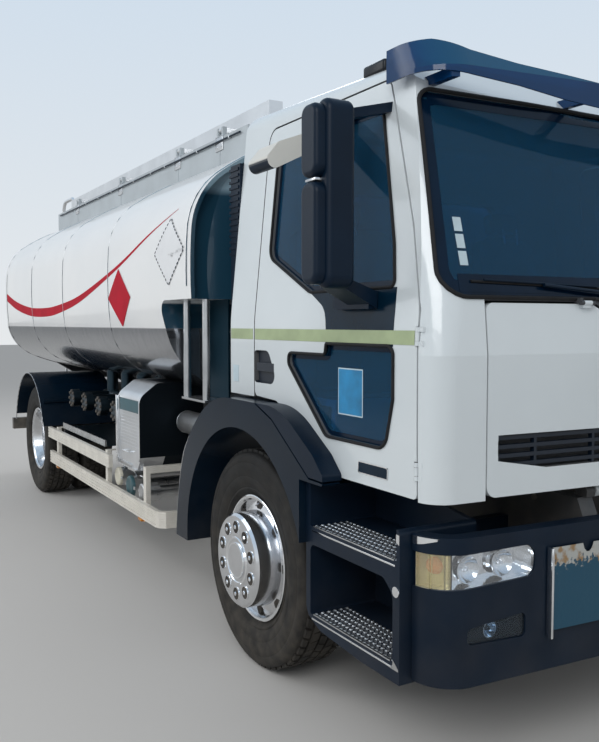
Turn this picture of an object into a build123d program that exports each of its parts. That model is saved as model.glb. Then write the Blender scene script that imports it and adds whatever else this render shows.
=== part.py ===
from build123d import *
import math
import os

os.makedirs("parts", exist_ok=True)

# Tanker truck, two axles, cab over engine, steel tank with a walkway on top.
# Frame: +X forward, +Y left, +Z up, millimetres, ground at Z 0, origin below the middle of the truck.
# Places along the truck are written as distances from the front axle and moved by from_axle().

# Driving dimensions of the whole truck
WHEELBASE = 4730
FRONT_OVERHANG = 1440
REAR_OVERHANG = 1280
TYRE_RADIUS = 522
TYRE_WIDTH = 290
RIM_RADIUS = 290
TRACK_HALF = 1030
DUAL_SPACING = 330
AXLE_Z = TYRE_RADIUS
SEAT_GAP = 0.3
SWING_GAP = 8

LENGTH = FRONT_OVERHANG + WHEELBASE + REAR_OVERHANG
FRONT_AXLE_X = LENGTH / 2 - FRONT_OVERHANG
REAR_END = -WHEELBASE - REAR_OVERHANG

# Frame rails
RAIL_TOP = 980
RAIL_HEIGHT = 260
RAIL_HALF = 430
RAIL_FLANGE = 80
RAIL_PLATE = 8
RAIL_BOTTOM = RAIL_TOP - RAIL_HEIGHT
CROSS_WIDTH = 60
RAIL_NOSE = 1355

# Cab shell
CAB_HALF = 1150
CAB_BACK = -255
CAB_NOSE = 1415
CAB_NOSE_CORNER = 1345
CAB_CORNER_RADIUS = 95
CAB_LOW = 1030
CREASE_Z = 1535
BELT_Z = 1735
SCREEN_FOOT = 1385
SCREEN_FOOT_CORNER = 1328
SCREEN_CORNER_RADIUS = 150
SCREEN_SLOPE = 0.273
ROOF_SEAM = 2484
ROOF_FALL = 0.044
SCREEN_TOP = 2470
ROOF_EDGE_Z = 2655
ROOF_CROWN_Z = 2722
ROOF_EDGE_HALF = 1050
LEAN_START_Z = 1650
CAB_WALL = 50
GLASS_INSET = 14
GLASS_THICKNESS = 6
ARCH_EDGE_Z = 1300
FLOOR_THICKNESS = 30
FOOTWELL_Z = 1048
DECK_Z = 1330
DECK_FRONT = 640

# Doors
DOOR_HINGE_X = 1250
DOOR_HINGE_Y = -1148
DOOR_HINGES_Z = [1135, 1600]
DOOR_FRONT_LOW = 1254
DOOR_TOP = 2545

# Front flap
FLAP_HALF = 926
FLAP_TOP = 1716
FLAP_THICKNESS = 30
FLAP_HINGE_X = 1385
FLAP_HINGE_Z = FLAP_TOP + 4
FLAP_HINGE_Y = 475

# Cab tilt pivot
TILT_X = 1300
TILT_Z = 1000
TILT_PIN_RADIUS = 15

# Bumper, steps and front mudguard
BUMPER_HALF = 1156
BUMPER_LOW = 400
BUMPER_TOP = 920
BUMPER_WALL = 60
BUMPER_CORNER = 1385
BUMPER_SEAM = 1240
LAMP_LOW = 732
LAMP_TOP = 868
STEP_BACK = 592
STEP_HALF = 1205
STEP_INNER = 860
TREAD_LOW_Z = 440
TREAD_HIGH_Z = 805
ARCH_RADIUS = 632
MUDGUARD_HALF = 1240

# Tank
TANK_HALF = 1247
TANK_MID_Z = 1930
TANK_SIDE_RADIUS = 3000
TANK_TOP_Z = 2784
TANK_TOP_RADIUS = 1870
TANK_LOW_Z = 1110
TANK_LOW_RADIUS = 2600
TANK_SHOULDER_RADIUS = 420
TANK_FRONT = -545
TANK_REAR = -5770
TANK_LIP = 60
TANK_SHEET = 22
HEAD_BULGE = 140
DECK_TOP_Z = 2640
COAMING_HALF = 750
COAMING_SHEET = 28
COAMING_TOP = 2800
COAMING_FRONT = -870
COAMING_REAR = -5450

# Steering
KINGPIN_Y = 950
KINGPIN_RADIUS = 24
SPINDLE_RADIUS = 41
STEER_ARM = 160


def from_axle(x):
    """Place along the truck, from a distance ahead of the front axle."""
    return FRONT_AXLE_X + x


def outline(points, radii=0):
    """Closed flat outline with a corner radius at each point."""
    count = len(points)
    sizes = [radii] * count if isinstance(radii, (int, float)) else list(radii)
    with BuildSketch() as sketch:
        with BuildLine():
            if any(sizes):
                FilletPolyline(*points, radius=sizes, close=True)
            else:
                Polyline(*points, close=True)
        make_face()
    return sketch.sketch


def slab_x(points, x0, x1, radii=0):
    """Outline in (Y, Z) pushed along X between two places given from the front axle."""
    base = Plane((from_axle(x0), 0, 0), x_dir=(0, 1, 0), z_dir=(1, 0, 0))
    return extrude(base * outline(points, radii), amount=x1 - x0)


def slab_y(points, y0, y1, radii=0):
    """Outline in (X, Z), X given from the front axle, pushed along Y between y0 and y1."""
    moved = [(from_axle(x), z) for x, z in points]
    base = Plane((0, y1, 0), x_dir=(1, 0, 0), z_dir=(0, -1, 0))
    return extrude(base * outline(moved, radii), amount=y1 - y0)


def slab_z(points, z0, z1, radii=0):
    """Outline in (X, Y), X given from the front axle, pushed up between z0 and z1."""
    moved = [(from_axle(x), y) for x, y in points]
    return extrude(Plane.XY.offset(z0) * outline(moved, radii), amount=z1 - z0)


def block(x0, x1, y0, y1, z0, z1):
    """Plain block between two corners, X given from the front axle."""
    centre = Pos(from_axle((x0 + x1) / 2), (y0 + y1) / 2, (z0 + z1) / 2)
    return centre * Box(x1 - x0, y1 - y0, z1 - z0)


def rod_x(x0, x1, y, z, radius):
    """Round bar along X."""
    return Pos(from_axle((x0 + x1) / 2), y, z) * Rot(0, 90, 0) * Cylinder(radius, x1 - x0)


def rod_y(x, y0, y1, z, radius):
    """Round bar along Y."""
    return Pos(from_axle(x), (y0 + y1) / 2, z) * Rot(90, 0, 0) * Cylinder(radius, y1 - y0)


def rod_z(x, y, z0, z1, radius):
    """Round bar along Z."""
    return Pos(from_axle(x), y, (z0 + z1) / 2) * Cylinder(radius, z1 - z0)


def turned(points, x, y, z):
    """Solid turned about a cross-axis from (radius, outward distance) points."""
    body = revolve(outline(points), axis=Axis.Y)
    return Pos(from_axle(x), y, z) * body


def bent_tube(points, radius, bend):
    """Round tube along straight runs joined by bends of one radius."""
    path = FilletPolyline(*[(from_axle(x), y, z) for x, y, z in points], radius=bend)
    start = Plane(path @ 0, z_dir=path % 0)
    return sweep(start * Circle(radius), path=path)


def other_side(solid):
    """The same piece on the left, from the one on the right."""
    return mirror(solid, about=Plane.XZ)


def both(solid):
    return [solid, other_side(solid)]


def save(name, *pieces):
    """Write one node from its solids."""
    solids = []
    for piece in pieces:
        solids.extend(piece.solids())
    export_step(Compound(children=solids), f"parts/{name}.step")


def fuse(first, *rest):
    result = first
    for piece in rest:
        result = result + piece
    return result


# Wheels. The profiles are for the left side, with outward distance from the tyre's middle.

def tyre_profile():
    half = TYRE_WIDTH / 2
    bead = half - 40
    # radius, outward distance
    return [
        (RIM_RADIUS, -bead), (RIM_RADIUS + 12, -bead), (RIM_RADIUS + 40, 14 - half),
        (RIM_RADIUS + 120, -half), (TYRE_RADIUS - 40, 4 - half), (TYRE_RADIUS - 12, 20 - half),
        (TYRE_RADIUS, 36 - half), (TYRE_RADIUS, half - 36), (TYRE_RADIUS - 12, half - 20),
        (TYRE_RADIUS - 40, half - 4), (RIM_RADIUS + 120, half), (RIM_RADIUS + 40, half - 14),
        (RIM_RADIUS + 12, bead), (RIM_RADIUS, bead),
    ]


def rim_barrel():
    bead = TYRE_WIDTH / 2 - 40 + SEAT_GAP
    outer = RIM_RADIUS - SEAT_GAP
    # radius, outward distance
    return [
        (outer, -bead), (outer + 11, -bead), (outer + 11, -bead - 11), (outer - 6, -bead - 11),
        (outer - 14, -bead), (outer - 34, -30), (outer - 34, 30), (outer - 14, bead),
        (outer - 6, bead + 11), (outer + 11, bead + 11), (outer + 11, bead), (outer, bead),
        (outer - 20, 30), (outer - 20, -30),
    ]


def front_rim():
    inner = RIM_RADIUS - 18
    bowl = 228
    bowl_sheet = 10
    face = 215
    hub = 92
    hub_start = 5
    # radius, outward distance
    shell = [
        (inner, 70), (inner, 84), (bowl, 96), (bowl - 6, face - 12), (bowl - 18, face), (40, face),
        (40, face - bowl_sheet), (bowl - 24, face - bowl_sheet), (bowl - 16, face - 20),
        (bowl - bowl_sheet, 84), (bowl - bowl_sheet, 70),
    ]
    rim = fuse(
        turned(rim_barrel(), 0, TRACK_HALF, AXLE_Z),
        turned(shell, 0, TRACK_HALF, AXLE_Z),
        rod_y(0, TRACK_HALF + hub_start, TRACK_HALF + face - 5, AXLE_Z, hub),
        rod_y(0, TRACK_HALF + hub_start, TRACK_HALF + 72, AXLE_Z, bowl - 5),
        rod_y(0, TRACK_HALF + face - 5, TRACK_HALF + face + 7, AXLE_Z, hub - 8),
    )
    rim -= rod_y(0, TRACK_HALF - 60, TRACK_HALF + 150, AXLE_Z, SPINDLE_RADIUS + 0.5)
    for index in range(10):
        angle = math.radians(36 * index + 18)
        place = (160 * math.cos(angle), 160 * math.sin(angle))
        rim -= rod_y(place[0], TRACK_HALF + face - 30, TRACK_HALF + face + 5, AXLE_Z + place[1], 20)
    for index in range(8):
        hole = Pos(from_axle(0), TRACK_HALF + 78, AXLE_Z) * Rot(0, 45 * index, 0) * Pos(250, 0, 0)
        rim -= hole * Rot(90, 0, 0) * Cylinder(16, 60)
    return rim


REAR_SPINDLE_RADIUS = 50
REAR_HUB_INNER = 400


def rear_rims():
    inner = RIM_RADIUS - 18
    middle = DUAL_SPACING / 2
    # radius, outward distance; the disc of the outer wheel lies flat on that of the inner one
    dish = [
        (inner, -60), (inner, -78), (225, -middle), (60, -middle), (60, -middle + 12),
        (218, -middle + 12), (inner - 20, -66),
    ]
    flipped = [(r, -DUAL_SPACING - y) for r, y in dish]
    rims = turned(rim_barrel(), 0, TRACK_HALF, AXLE_Z)
    rims += turned(dish, 0, TRACK_HALF, AXLE_Z)
    rims += turned(rim_barrel(), 0, TRACK_HALF - DUAL_SPACING, AXLE_Z)
    rims += turned(flipped, 0, TRACK_HALF, AXLE_Z)
    rims += rod_y(0, TRACK_HALF - REAR_HUB_INNER, TRACK_HALF - 70, AXLE_Z, 115)
    rims += rod_y(0, TRACK_HALF - 70, TRACK_HALF - 30, AXLE_Z, 88)
    rims += rod_y(0, TRACK_HALF - DUAL_SPACING - 20, TRACK_HALF - middle - 20, AXLE_Z, 205)
    rims -= rod_y(0, TRACK_HALF - 500, TRACK_HALF - 60, AXLE_Z, REAR_SPINDLE_RADIUS + 0.5)
    for index in range(8):
        hole = Pos(from_axle(0), TRACK_HALF - middle, AXLE_Z) * Rot(0, 45 * index + 22, 0) * Pos(190, 0, 0)
        rims -= hole * Rot(90, 0, 0) * Cylinder(24, 60)
    return Pos(-WHEELBASE, 0, 0) * rims


def wheels():
    tyre = turned(tyre_profile(), 0, TRACK_HALF, AXLE_Z)
    rim = front_rim()
    pair = [
        Pos(-WHEELBASE, 0, 0) * tyre,
        Pos(-WHEELBASE, -DUAL_SPACING, 0) * tyre,
    ]
    rear = rear_rims()
    save("tyre_front_left", tyre)
    save("tyre_front_right", other_side(tyre))
    save("rim_front_left", rim)
    save("rim_front_right", other_side(rim))
    save("tyres_rear_left", *pair)
    save("tyres_rear_right", *[other_side(item) for item in pair])
    save("rims_rear_left", rear)
    save("rims_rear_right", other_side(rear))


# Front axle and steering

BEAM_TOP = 535
BEAM_LOW = 425
BEAM_HALF = 40
KNUCKLE_LUG = 45
LUG_LOW = 54
LUG_HIGH = 92
ROD_DROP = 112
ROD_RADIUS = 16
STUD_RADIUS = 10


def front_axle_beam():
    boss_low = AXLE_Z - 50
    boss_high = AXLE_Z + 50
    half = [
        (0, BEAM_LOW), (480, BEAM_LOW), (700, boss_low - 8), (KINGPIN_Y - 8, boss_low),
        (KINGPIN_Y - 8, boss_high), (700, boss_high - 12), (480, BEAM_TOP), (0, BEAM_TOP),
    ]
    beam = slab_x(half, -BEAM_HALF, BEAM_HALF)
    for side in (-1, 1):
        recess = [(0, BEAM_LOW + 18), (470, BEAM_LOW + 18), (640, BEAM_LOW + 50),
                  (640, BEAM_TOP - 10), (470, BEAM_TOP - 18), (0, BEAM_TOP - 18)]
        edge = side * BEAM_HALF
        beam -= slab_x(recess, min(edge, edge - side * 26), max(edge, edge - side * 26))
    beam += rod_z(0, KINGPIN_Y, boss_low, boss_high, 44)
    beam += other_side(beam)
    for side in (-1, 1):
        beam -= rod_z(0, side * KINGPIN_Y, boss_low - 5, boss_high + 5, KINGPIN_RADIUS + 0.5)
    return beam


def knuckle_left():
    plate_y = KINGPIN_Y + 48
    body = fuse(
        rod_z(0, KINGPIN_Y, AXLE_Z - LUG_HIGH, AXLE_Z + LUG_HIGH, KINGPIN_RADIUS),
        rod_z(0, KINGPIN_Y, AXLE_Z + LUG_LOW, AXLE_Z + LUG_HIGH, KNUCKLE_LUG),
        rod_z(0, KINGPIN_Y, AXLE_Z - LUG_HIGH, AXLE_Z - LUG_LOW, KNUCKLE_LUG),
        block(-KNUCKLE_LUG, KNUCKLE_LUG, KINGPIN_Y, plate_y + 18, AXLE_Z + LUG_LOW, AXLE_Z + LUG_HIGH),
        block(-KNUCKLE_LUG, KNUCKLE_LUG, KINGPIN_Y, plate_y + 18, AXLE_Z - LUG_HIGH, AXLE_Z - LUG_LOW),
        block(-KNUCKLE_LUG, KNUCKLE_LUG, plate_y, plate_y + 18, AXLE_Z - LUG_HIGH, AXLE_Z + LUG_HIGH),
        rod_y(0, plate_y, TRACK_HALF + 145, AXLE_Z, SPINDLE_RADIUS),
        block(-STEER_ARM, 0, KINGPIN_Y - 18, KINGPIN_Y + 18, AXLE_Z - LUG_HIGH, AXLE_Z - 70),
        rod_z(-STEER_ARM, KINGPIN_Y, AXLE_Z - LUG_HIGH, AXLE_Z - 70, 26),
    )
    return body - rod_z(-STEER_ARM, KINGPIN_Y, AXLE_Z - 100, AXLE_Z - 60, STUD_RADIUS + 0.5)


def tie_rod():
    rod_z_place = AXLE_Z - ROD_DROP
    rod = rod_y(-STEER_ARM, -KINGPIN_Y - 12, KINGPIN_Y + 12, rod_z_place, ROD_RADIUS)
    for side in (-1, 1):
        rod += rod_z(-STEER_ARM, side * KINGPIN_Y, rod_z_place, AXLE_Z - 66, STUD_RADIUS)
    return rod


# Frame, axles and springs

def frame_rail():
    nose = RAIL_NOSE
    side = [
        (REAR_END + 80, RAIL_BOTTOM), (nose, RAIL_BOTTOM), (nose, RAIL_TOP - 90),
        (nose - 40, RAIL_TOP), (REAR_END + 80, RAIL_TOP),
    ]
    rail = slab_y(side, -RAIL_HALF, -RAIL_HALF + RAIL_FLANGE)
    pocket = [
        (REAR_END, RAIL_BOTTOM + RAIL_PLATE), (nose + 10, RAIL_BOTTOM + RAIL_PLATE),
        (nose + 10, RAIL_TOP - 110), (nose - 50, RAIL_TOP - RAIL_PLATE), (REAR_END, RAIL_TOP - RAIL_PLATE),
    ]
    rail -= slab_y(pocket, -RAIL_HALF + RAIL_PLATE, -RAIL_HALF + RAIL_FLANGE + 1)
    pivot = block(TILT_X - 28, TILT_X + 28, -RAIL_HALF + 38, 2 - RAIL_HALF + RAIL_FLANGE, RAIL_TOP, TILT_Z)
    pivot += rod_y(TILT_X, -RAIL_HALF + 38, 2 - RAIL_HALF + RAIL_FLANGE, TILT_Z, 28)
    pivot += rod_y(TILT_X, -RAIL_HALF + 38, -288, TILT_Z, TILT_PIN_RADIUS)
    return rail + pivot


CROSSMEMBERS = [1180, -1150, -1950, -2950, -3750, -5350]


def crossmembers():
    reach = RAIL_HALF - RAIL_PLATE - SEAT_GAP
    low = RAIL_BOTTOM + 25
    high = RAIL_TOP - 25
    items = []
    for x in CROSSMEMBERS:
        bar = block(x - CROSS_WIDTH / 2, x + CROSS_WIDTH / 2, -reach, reach, low, high)
        hollow = block(x - CROSS_WIDTH / 2 + 8, x + CROSS_WIDTH, -reach - 1, reach + 1, low + 8, high - 8)
        items.append(bar - hollow)
    return items


def leaf_spring(axle, inner, outer, seat_z, eye_z, half_length, stack, mount_z, rail_face):
    """Leaf pack on its axle with eyes and hangers, on the right."""
    side = [
        (axle - half_length, eye_z + 14), (axle - 90, seat_z + stack), (axle + 90, seat_z + stack),
        (axle + half_length, eye_z + 14), (axle + half_length, eye_z), (axle + 90, seat_z),
        (axle - 90, seat_z), (axle - half_length, eye_z),
    ]
    spring = slab_y(side, -outer, -inner)
    for end in (-1, 1):
        place = axle + end * half_length
        spring += rod_y(place, -outer, -inner, eye_z + 7, 30)
        spring += block(place - 34, place + 34, -outer, -rail_face, eye_z + 7, mount_z)
    return spring


FRONT_SPRING_MID = 390
REAR_SPRING_INNER = RAIL_HALF + 20
REAR_SPRING_OUTER = RAIL_HALF + 92
REAR_TUBE = 75
REAR_SEAT_Z = AXLE_Z + REAR_TUBE + 20


def leaf_springs():
    front = leaf_spring(
        0, FRONT_SPRING_MID - 35, FRONT_SPRING_MID + 35, BEAM_TOP, 640, 700, 52, RAIL_BOTTOM,
        FRONT_SPRING_MID - 35,
    )
    rear = leaf_spring(
        -WHEELBASE, REAR_SPRING_INNER, REAR_SPRING_OUTER, REAR_SEAT_Z, 700, 720, 64, 850, RAIL_HALF,
    )
    return both(front) + both(rear)


def rear_axle():
    x = -WHEELBASE
    axle = rod_y(x, -540, 540, AXLE_Z, REAR_TUBE)
    axle += rod_y(x, -TRACK_HALF + 70, TRACK_HALF - 70, AXLE_Z, REAR_SPINDLE_RADIUS)
    bowl = Pos(from_axle(x), 0, AXLE_Z) * Rot(0, 90, 0) * Cylinder(180, 190)
    axle += bowl
    axle += Pos(from_axle(x) + 200, 0, AXLE_Z) * Rot(0, 90, 0) * Cone(140, 60, 210)
    axle += Pos(from_axle(x) - 115, 0, AXLE_Z) * Rot(0, -90, 0) * Cone(180, 110, 40)
    for side in (-1, 1):
        middle = side * (REAR_SPRING_INNER + REAR_SPRING_OUTER) / 2
        axle += block(x - 80, x + 80, middle - 36, middle + 36, AXLE_Z, REAR_SEAT_Z)
    return axle


def engine():
    motor = block(-350, 800, -300, 300, 620, 1230)
    sump = block(-200, 600, -180, 180, 560, 620)
    gearbox = block(-1000, -350, -190, 190, 600, 960)
    bodies = motor + sump + gearbox
    for place in (-250, 650):
        bodies += block(place, place + 90, -RAIL_HALF + 15, RAIL_HALF - 15, RAIL_BOTTOM + RAIL_PLATE, 790)
    cooler = block(900, 970, -325, 325, 580, 1005)
    cooler += block(915, 955, -RAIL_HALF + 15, RAIL_HALF - 15, RAIL_BOTTOM + RAIL_PLATE, 770)
    return bodies, cooler


GEARBOX_REAR = -1000
SHAFT_Z = 655
PINION_FRONT = -WHEELBASE + 305


def drive_shaft():
    start = Vector(from_axle(GEARBOX_REAR - 20), 0, SHAFT_Z)
    end = Vector(from_axle(PINION_FRONT + 20), 0, AXLE_Z)
    axis = (end - start).normalized()
    tube = extrude(Plane(start, z_dir=axis) * Circle(45), amount=(end - start).length)
    tube += rod_x(GEARBOX_REAR - 40, GEARBOX_REAR, 0, SHAFT_Z, 56)
    return tube + rod_x(PINION_FRONT, PINION_FRONT + 40, 0, AXLE_Z, 58)


# Hinges: an eye on the moving piece between two lugs and a pin on the fixed one

HINGE_RADIUS = 9
HINGE_SPACE = 12
HINGE_PIN = 5
HINGE_REACH = 18
HINGE_SLACK = 0.5


def door_hinge(z):
    """Eye with its leaf, lugs with their pin, and the room for each, of the right door."""
    x = DOOR_HINGE_X
    y = DOOR_HINGE_Y
    eye = rod_z(x, y, z - 15, z + 15, HINGE_RADIUS) + block(x - 40, x, y, y + HINGE_REACH, z - 15, z + 15)
    eye -= rod_z(x, y, z - 20, z + 20, HINGE_PIN + HINGE_SLACK)
    lugs = rod_z(x, y, z - 32, z + 32, HINGE_PIN)
    for low in (z - 32, z + 16):
        lugs += rod_z(x, y, low, low + 16, HINGE_RADIUS)
        lugs += block(x + 5, x + 30, y, y + HINGE_REACH, low, low + 16)
    eye_room = rod_z(x, y, z - 16, z + 16, HINGE_SPACE)
    eye_room += block(x - 45, x + 2, y - HINGE_SPACE, y + HINGE_REACH + 2, z - 16, z + 16)
    lug_room = rod_z(x, y, z - 34, z + 34, HINGE_SPACE)
    return eye, lugs, eye_room, lug_room


def flap_hinge(y):
    """The same for the front flap, about a cross-axis just above its top edge."""
    x = FLAP_HINGE_X
    z = FLAP_HINGE_Z
    eye = rod_y(x, y - 20, y + 20, z, HINGE_RADIUS) + block(x - 35, x, y - 20, y + 20, z - HINGE_REACH, z)
    eye -= rod_y(x, y - 30, y + 30, z, HINGE_PIN + HINGE_SLACK)
    lugs = rod_y(x, y - 36, y + 36, z, HINGE_PIN)
    for low in (y - 36, y + 21):
        lugs += rod_y(x, low, low + 15, z, HINGE_RADIUS)
        lugs += block(x - 35, x, low, low + 15, z, z + HINGE_REACH)
    eye_room = rod_y(x, y - 21, y + 21, z, HINGE_SPACE)
    eye_room += block(x - 40, x, y - 21, y + 21, z - HINGE_REACH, z)
    lug_room = rod_y(x, y - 37, y + 37, z, HINGE_SPACE)
    return eye, lugs, eye_room, lug_room


# Cab shell: plan outlines pushed up to the crease, drawn in to the screen's foot and then
# pushed up along the slope of the screen, trimmed by a side outline and a front outline.

def cab_plan(nose, corner, half, radius, inset):
    back = CAB_BACK + inset
    outer = half - inset
    return outline(
        [(from_axle(back), -outer), (from_axle(corner - inset), -outer), (from_axle(nose - inset), 0),
         (from_axle(corner - inset), outer), (from_axle(back), outer)],
        [0, radius - inset * 0.8, 6000, radius - inset * 0.8, 0],
    )


def cab_body(inset):
    low = CAB_LOW - 60
    lower = cab_plan(CAB_NOSE, CAB_NOSE_CORNER, CAB_HALF, CAB_CORNER_RADIUS, inset)
    upper = cab_plan(SCREEN_FOOT, SCREEN_FOOT_CORNER, CAB_HALF, SCREEN_CORNER_RADIUS, inset)
    base = extrude(Plane.XY.offset(low) * lower, amount=CREASE_Z - low)
    waist = loft([Plane.XY.offset(CREASE_Z) * lower, Plane.XY.offset(BELT_Z) * upper], ruled=True)
    rise = 1050
    lean = Vector(-SCREEN_SLOPE, 0, 1)
    screen = extrude(Plane.XY.offset(BELT_Z) * upper, amount=rise * lean.length, dir=lean.normalized())
    behind = block(CAB_BACK + inset, CAB_BACK + 600, inset - CAB_HALF, CAB_HALF - inset, low, BELT_Z + rise)
    solid = base + waist + screen + behind
    side = [
        (CAB_BACK + inset, low), (1700, low), (1700, 1930 - inset), (980, 2650 - inset),
        (560, 2722 - inset), (CAB_BACK + inset, ROOF_EDGE_Z + 20 - inset),
    ]
    front = [
        (inset - CAB_HALF, low), (CAB_HALF - inset, low), (CAB_HALF - inset, LEAN_START_Z),
        (ROOF_EDGE_HALF - inset, ROOF_EDGE_Z - inset), (0, ROOF_CROWN_Z - inset),
        (inset - ROOF_EDGE_HALF, ROOF_EDGE_Z - inset), (inset - CAB_HALF, LEAN_START_Z),
    ]
    edge = 90 - inset * 0.6
    solid &= slab_y(side, -1400, 1400, [0, 0, 0, 260, 1500, edge])
    fall = math.atan(ROOF_FALL)
    level = Plane((from_axle(0), 0, 0), x_dir=(0, 1, 0), z_dir=(math.cos(fall), 0, -math.sin(fall)))
    solid &= extrude(level.offset(-900) * outline(front, [0, 0, 900, edge, 3000, edge, 900]), amount=2700)
    return solid


DOOR_OUTLINE = [
    # x, z, corner radius
    (12, 1306, 30), (225, 1297, 60), (352, 1240, 60), (668, 1036, 40), (DOOR_FRONT_LOW, 1036, 20),
    (1250, 1300, 0), (1248, 1690, 300), (1172, 1985, 600), (958, DOOR_TOP, 50), (12, DOOR_TOP, 60),
]
WINDOW_OUTLINE = [
    # x, z, corner radius
    (118, 1950, 70), (505, 1779, 60), (1096, 1779, 20), (1072, 1930, 400), (925, 2455, 60), (118, 2455, 90),
]
KERB_OUTLINE = [
    # x, z, corner radius
    (350, 1470, 30), (660, 1192, 60), (1066, 1192, 60), (1112, 1372, 60), (1112, 1560, 30), (350, 1560, 30),
]
CAB_SIDE_LOW_FRONT = [
    # x, z: strip of the side ahead of the door, down to the lower edge
    (1262, CAB_LOW), (1600, CAB_LOW), (1600, 2800), (860, 2800), (992, 2484), (1180, 1988),
    (1256, 1694), (1258, 1302), (1262, 1036),
]


def points_of(table):
    return [(row[0], row[1]) for row in table]


def radii_of(table):
    return [row[2] for row in table]


def grown(table, amount):
    """Outline prism tool grown outward by an amount, across the cab's right side."""
    moved = [(from_axle(x), z) for x, z in points_of(table)]
    flat = outline(moved, radii_of(table))
    if amount:
        flat = offset(flat, amount=amount, kind=Kind.INTERSECTION)
    return extrude(Plane((0, -900, 0), x_dir=(1, 0, 0), z_dir=(0, -1, 0)) * flat, amount=400)


def front_tool(table):
    return slab_x(points_of(table), 900, 1700, radii_of(table))


def screen_tool():
    return front_tool(SCREEN_POINTS) & slab_y(SCREEN_CUT, -1300, 1300)


FLAP_POINTS = [
    # y, z, corner radius
    (-FLAP_HALF, CAB_LOW + 8, 40), (FLAP_HALF, CAB_LOW + 8, 40), (FLAP_HALF, FLAP_TOP, 30),
    (430, FLAP_TOP, 0), (330, FLAP_TOP - 48, 0), (-330, FLAP_TOP - 48, 0), (-430, FLAP_TOP, 0),
    (-FLAP_HALF, FLAP_TOP, 30),
]
SCREEN_POINTS = [
    # y, z, corner radius
    (-1095, 1740, 85), (1095, 1740, 85), (1055, SCREEN_TOP, 45), (-1055, SCREEN_TOP, 45),
]
SCREEN_CUT = [
    # x, z: front of the cab that the windscreen's opening goes through, leaning with the screen
    (1185, 1700), (1700, 1700), (1700, 2600), (1005, 2600), (1040, 2470),
]
GRILLE_POINTS = [
    # y, z, corner radius
    (-880, 1165, 30), (-660, 1128, 0), (660, 1128, 0), (880, 1165, 30), (880, 1255, 25), (-880, 1255, 25),
]
REAR_WINDOW = [
    # y, z, corner radius
    (-560, 1900, 60), (560, 1900, 60), (560, 2330, 60), (-560, 2330, 60),
]
HANDLE_RECESS = [
    # x, z, corner radius
    (2, 1368, 30), (240, 1368, 40), (150, 1520, 50), (2, 1520, 30),
]

SLAT_ROWS = [1140, 1172, 1204, 1236]
RIB_ROWS = [-700, -420, -140, 140, 420, 700]
PILLAR_INNER = FLAP_HALF + 6
FIREWALL_INSET = 95
FIREWALL_SHEET = 20


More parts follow.
